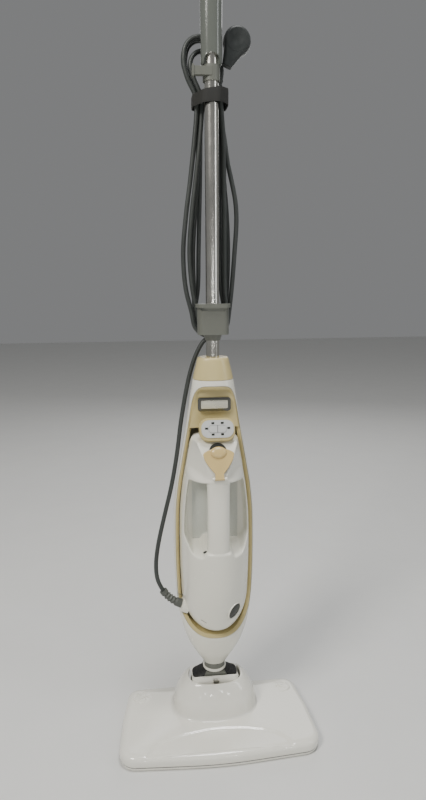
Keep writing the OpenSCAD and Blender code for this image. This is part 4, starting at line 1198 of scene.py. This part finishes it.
def make_head(paint):
    """Thin closed shell: side, deck, dome and back down the inside, with a slot for the yoke's arms."""
    outline = head_outline()
    edge, foot = shrink(outline, DECK_INSET), dome_loop(outline, *DOME_FOOT)

    def deck(t, drop=0):
        return raise_to(edge + (foot - edge) * t, DECK_Z + DECK_RISE * t ** 1.25 - drop)

    rows = [raise_to(shrink(outline, inset), z) for inset, z in HEAD_SIDE]
    rows += [deck(t) for t in np.linspace(0.03, 1, DECK_ROWS)]
    rows += [raise_to(dome_loop(outline, *sizes), z) for *sizes, z in DOME]
    for *sizes, z in DOME[DOME_INSIDE_TOP:0:-1]:
        rows.append(raise_to(dome_loop(outline, *(v - HEAD_WALL for v in sizes)), z - 1))
    rows += [deck(t, HEAD_WALL) for t in np.linspace(1, 0, 12)]
    rows += [raise_to(shrink(outline, inset), z) for inset, z in HEAD_INSIDE]
    for row in rows[len(HEAD_SIDE) - 4 : len(HEAD_SIDE) + DECK_ROWS]:
        row[:, 2] -= front_panel_depth(row[:, :2])
    head = loft("head_shell", rows, 55, loop=True)
    w = YOKE_SLOT_HALF_W
    slot_outline = rounded([[w, 0, 1], [w, 70, 3], [-w, 70, 3], [-w, 0, 1]], 4)
    cut(head, [prism("slot", slot_outline, 27.5, 90, place_at(0, POLE_Y, 0))], smooth=45)
    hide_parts("head_cover")
    dress(head, "head", paint["head_white"])


def make_sole(paint):
    """Sole plate with pockets for the hook strips, steam holes and screw holes, and the gasket above it."""
    outline = head_outline()
    sole = loft("sole", [raise_to(shrink(outline, inset), z) for inset, z in SOLE_EDGE], 40, caps=True)
    pocket = rounded_box(52, 9, 2)
    openings = [prism("pocket", pocket + [x, y], -1, 1) for x in (-75, 75) for y in (-38, 38)]
    openings += [prism("steam_hole", circle(2, 20) + [x, 0], -1, 8) for x in np.arange(-100, 101, 40)]
    openings += [prism("screw_hole", circle(4, 28) + at, -1, 3) for at in SOLE_SCREWS]
    cut(sole, openings)
    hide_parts("sole_plate")
    dress(sole, "head", paint["head_white"])
    band = loft("gasket", [raise_to(shrink(outline, inset), z) for inset, z in GASKET_EDGE], 40, loop=True)
    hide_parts("head_gasket")
    dress(band, "head", paint["black"])


GRIPPER_HALF_W, GRIPPER_HALF_D, GRIPPER_AT = 19.7, 13.8, (112, 54)
# The rim of a cloth gripper: share of its size, and height
GRIPPER_RIM = [
    (1.0, 22.5), (1.0, 24.2), (0.985, 24.9), (0.955, 25.1), (0.925, 24.8), (0.91, 24.3), (0.89, 24.5),
]
SLIT_ANGLES = (25, 90, 155)


def make_gripper(side, paint):
    """Soft oval that grips the cloth: a low dome in a rim, slit crosswise."""
    oval = circle(GRIPPER_HALF_D, 180, GRIPPER_HALF_W)
    rows = [raise_to(oval * r, z) for r, z in GRIPPER_RIM]
    for r in np.linspace(0.87, 0.02, 46):
        row = raise_to(oval * r, 24.5 + 1.3 * (1 - r * r))
        for angle in SLIT_ANGLES:
            t = math.radians(angle)
            off = np.abs(row[:, 0] * math.sin(t) - row[:, 1] * math.cos(t))
            row[:, 2] -= 1.6 * (1 - ease((off - 0.25) / 0.55)) * ease((0.78 - r) / 0.1)
        rows.append(row)
    hand = "left" if side < 0 else "right"
    thing = loft(f"gripper_{hand}", rows, 50, caps=True)
    thing.data.transform(place_at(side * GRIPPER_AT[0], GRIPPER_AT[1], 0))
    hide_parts(f"cloth_gripper_{hand}")
    dress(thing, "head", paint["head_white"])


# ---- Yoke and its rubber boot ----


def copy_of(node, name):
    """A new piece with a CAD node's shape, which it then stands for."""
    thing = bpy.data.objects.new(name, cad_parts[node].data.copy())
    bpy.context.collection.objects.link(thing)
    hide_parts(node)
    return thing


# Room above the yoke's rim in the side view, as y and z
YOKE_CUT = [[9.5, 90], [9.5, 84], [24, 80.5], [70, 77.5], [70, 100], [9.5, 100]]
# Matrix that lays a loop of y and z in the side view, with its thickness along x
SIDE_VIEW = Matrix(((0, 0, 1, 0), (1, 0, 0, 0), (0, 1, 0, 0), (0, 0, 0, 1)))


def make_yoke(paint):
    """The CAD yoke with its rim cut away behind the front lip, where the boot closes it."""
    yoke = copy_of("yoke", "yoke_fork")
    cut(yoke, [prism("above", np.array(YOKE_CUT, float), -50, 50, SIDE_VIEW)], smooth=35)
    join_flats(yoke)
    soften(yoke, 0.8, 32)
    dress(yoke, "yoke", paint["head_white"])


BOOT = [
    [82.4, 36, 17.6], [84, 35.4, 17.5], [85.5, 32, 17.3], [86.5, 29.6, 17.1], [88, 28.6, 17.1],
    [89, 25.2, 17], [90.5, 24.2, 17], [92, 20.2, 16.8], [94.5, 16.6, 16.6],
]


def make_boot(paint):
    """Ribbed rubber that closes the yoke round the neck."""
    rows = []
    for z in np.linspace(BOOT[0][0], BOOT[-1][0], 40):
        power = 0.6 + 0.4 * float(ease((z - 84) / 10))
        rows.append(about_pole(squared_ring(*sizes_at(BOOT, z), power, power, 96), z))
    boot = loft("boot", rows, 50, caps=True)
    boot.data.materials.append(paint["black"])
    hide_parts("neck_boot")
    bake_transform(boot)


NECK = [
    [82, 24.6, 17.4], [84.5, 24, 17.3], [86.5, 21.8, 17.2], [89, 19.2, 17.2],
    [91.5, 17, 17], [93, 16.2, 16.6],
]
NECK_WALL, NECK_SQUARENESS = 2, 2.4


def make_neck_skirt(paint):
    """Front of the neck, which spreads down to the yoke's lip."""
    rows = []
    for z in np.linspace(NECK[0][0], NECK[-1][0], 30):
        w, d = sizes_at(NECK, z)
        outer = half_loop(w, d, -1, 40, NECK_SQUARENESS)
        inner = half_loop(w - NECK_WALL, d - NECK_WALL, -1, 40, NECK_SQUARENESS)[::-1]
        rows.append(about_pole(np.vstack([outer, inner]), z))
    skirt = loft("neck_skirt", rows, 50, caps=True)
    soften(skirt, 0.4, 50)
    dress(skirt, "stick", paint["mid_grey"])


# ---- Grip, strap and plug ----

GRIP_Z0, GRIP_SHOULDER, GRIP_Z1 = 980, 1149, 1165
BORE_R, BORE_TOP = 9.55, 1100.5
GRIP = [
    [980, 14, 12.5], [1020, 14.2, 13], [1065, 14.6, 13.5], [1100, 15.2, 14.5],
    [1130, 16.2, 15.5], [1151, 16.5, 15.5],
]


def make_grip(side, paint):
    """Half of the grip, moulded round the pole, with an arched cut-out at the front."""
    foot = [GRIP_Z0, GRIP_Z0 + 0.5, GRIP_Z0 + 1.4]
    crown = [1153, 1157, 1160, 1162.4, 1164, GRIP_Z1]
    rows = []
    for z in np.concatenate([foot, np.linspace(984, GRIP_SHOULDER, 60), crown]):
        end = arch(np.clip((z - GRIP_SHOULDER) / 16.4, 0, 1), 2.2)
        inset = 0.9 * (1 - ease((z - GRIP_Z0) / 1.4))
        w, d = (size * end - inset for size in sizes_at(GRIP, z))
        rows.append(about_pole(half_loop(w, d, side, 40) + [0, side * SEAM_GAP], z))
    name = "grip_rear" if side > 0 else "grip_front"
    half = loft(name, rows, caps=True)
    cutters = [prism("bore", circle(BORE_R, 64), 900, BORE_TOP, place_at(0, POLE_Y, 0))]
    if side < 0:
        loop = rounded([[10.5, -5, 1], [10.5, 14, 10.4], [-10.5, 14, 10.4], [-10.5, -5, 1]], 16)
        cutters.append(prism("arch", loop, 6, 30, facing(0, 0, GRIP_Z0 - 1)))
    cut(half, cutters, smooth=42)
    soften(half, 0.45, 48)
    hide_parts(f"{name}_shell")
    dress(half, "stick", paint["grip_grey"])


STRAP_Z, STRAP_HALF_W, STRAP_T = 942.5, 8.6, 1.7
# Right half of the strap's path round the pole and the folded lead
STRAP_PATH = [[10.5, -11.8, 9], [24.4, 8, 9], [24.4, 42.6, 10]]


def make_strap(paint):
    """Hook tape pulled tight round the pole and the folded lead, a little askew, with rounded edges."""
    outer = resample(rounded(STRAP_PATH + [[-x, y, r] for x, y, r in STRAP_PATH[::-1]], 10), 1.6)
    across = np.linspace(-1, 1, 9)
    rows = []
    for loop, order, inwards in ((outer, across, 1), (shrink(outer, STRAP_T), across[::-1], -1)):
        x, y = loop.T
        skew = 0.13 * x * np.where(y < 10, 1, 0.4)
        for v in order:
            ring = shrink(loop, inwards * 0.25 * abs(v) ** 6)
            z = STRAP_Z + (STRAP_HALF_W + 0.045 * x) * v + skew
            rows.append(np.column_stack([ring + [0, POLE_Y], z]))
    strap = loft("strap", rows, 50, loop=True)
    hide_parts("cord_strap")
    dress(strap, "stick", paint["textile"])


# Matrix of the plug: its axis along z, its tail along y
PLUG_PLACE = place_at(38, POLE_Y + 15.5, 1019, (-90, "X"), (24, "Z"))
PLUG_BODY = [
    [0.01, 0.6], [8, 0], [14.5, 0], [16.6, 0.7], [17.4, 2.2], [17.6, 4.0], [18.4, 4.6], [18.5, 6],
    [18.5, 12.4], [18.0, 13], [0.01, 13],
]
PLUG_RIM = [[16, 12.2], [18.9, 12.2], [19.2, 12.7], [19.2, 13.5], [18.6, 14.2], [16, 14.2]]
STEM_WIDTHS = [
    [-14, 9], [-8, 15.5], [0, 17.6], [6, 17], [14, 13.6], [22, 10.6], [29, 8.6], [33, 7.2], [36, 6.6],
]
STEM_Z = 6.9
STEM_DEPTHS = [[-14, 4], [-6, 8], [2, 8.6], [14, 8], [24, 7], [33, 6.4], [36, 6.2]]


def make_plug(paint):
    """Round two-pin plug: stepped body, flattened stem and a ribbed, tapered tail."""
    body = turn("plug_shell", PLUG_BODY, 72)
    rows = []
    for y in np.linspace(STEM_WIDTHS[0][0], STEM_WIDTHS[-1][0], 44):
        w, d = float(curve(STEM_WIDTHS, y)), float(curve(STEM_DEPTHS, y))
        x, z = squared_ring(w, d, 0.62, 0.72, 48).T
        rows.append(np.column_stack([x, np.full(48, y), np.clip(STEM_Z + z, 0.3, None)]))
    cut(body, [loft("stem", rows, caps=True)], "UNION", 38)
    melt(body, 0.55, 3)
    shade(body, 50)
    body.data.transform(PLUG_PLACE)
    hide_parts("plug_body")
    dress(body, "stick", paint["plug"])
    run = np.linspace(0, 1, 90)
    path = np.column_stack([np.zeros(90), 32 + 22 * run, np.full(90, STEM_Z + 0.05)])
    tail = tube("plug_tail", path, 6.2 - 1.9 * run - grooves(run, 8, 0.8, 0.05, 0.97), 32)
    tail.data.transform(PLUG_PLACE)
    dress(tail, "stick", paint["plug"])
    rim = turn("plug_rim", PLUG_RIM, 72, PLUG_PLACE)
    dress(rim, "stick", paint["pale_grey"])
    return body, tail, rim


# ---- Put it together ----


def keep_cad_nodes(paint):
    """CAD nodes whose shape is right: a material each, and edges rounded by the width given."""
    kept = {
        "pale_grey": {
            "steam_chamber": 0.4, "filler_neck": 0.3, "pump": 0.8, "pod_fascia": 0.6,
            "steam_button": 0.5, "power_button": 0.5, "plug_insert": 0.7,
        },
        "mid_grey": {
            "head_hose": 0.2, "pivot_bracket": 0.5, "swivel_neck": 0.8, "steam_socket": 0.4,
            "stick_hose": 0, "lower_cord_hook": 0.7, "upper_cord_hook": 0.5,
        },
        "textile": {"hook_strips": 0.15},
        "steel": {
            "head_screws": 0.15, "tilt_pins": 0.3, "roll_pin": 0.3, "cradle_screws": 0.15,
            "grip_screws": 0.12, "boiler": 1.2, "unit_screws": 0.15, "plug_pins": 0.6,
        },
        "white": {"bottom_ring": 0.3, "unit_rear_shell": 0, "flap_pin": 0.4, "cord_boss": 1.0},
        "chrome": {"badge_frame": 0.6},
        "plate": {"release_button": 0.4},
        "pole": {"pole": 0},
        "clear": {"water_tank": 0.8},
        "board": {"control_board": 0.1},
        "beige": {"pod_bezel": 1.1},
        "brass": {"steam_spigot": 0.3},
        "black": {"spigot_seal": 0.2},
    }
    for material, nodes in kept.items():
        for node, bevel in nodes.items():
            keep(node, paint[material], bevel)


def main():
    paint = make_materials()
    make_camera()
    lead, line, length = make_cord(paint)
    make_studio()
    make_floor()
    keep_cad_nodes(paint)
    make_rear_shell(paint)
    make_front_frame(paint)
    make_liner(paint)
    make_collar(paint)
    make_unit_shell(paint)
    make_flap(paint)
    make_window(paint)
    make_small_openings(paint)
    make_lamps(paint)
    make_relief(paint)
    make_head(paint)
    make_sole(paint)
    for side in (-1, 1):
        make_gripper(side, paint)
        make_grip(side, paint)
    make_yoke(paint)
    make_boot(paint)
    make_neck_skirt(paint)
    make_strap(paint)
    plug, tail, rim = make_plug(paint)


main()
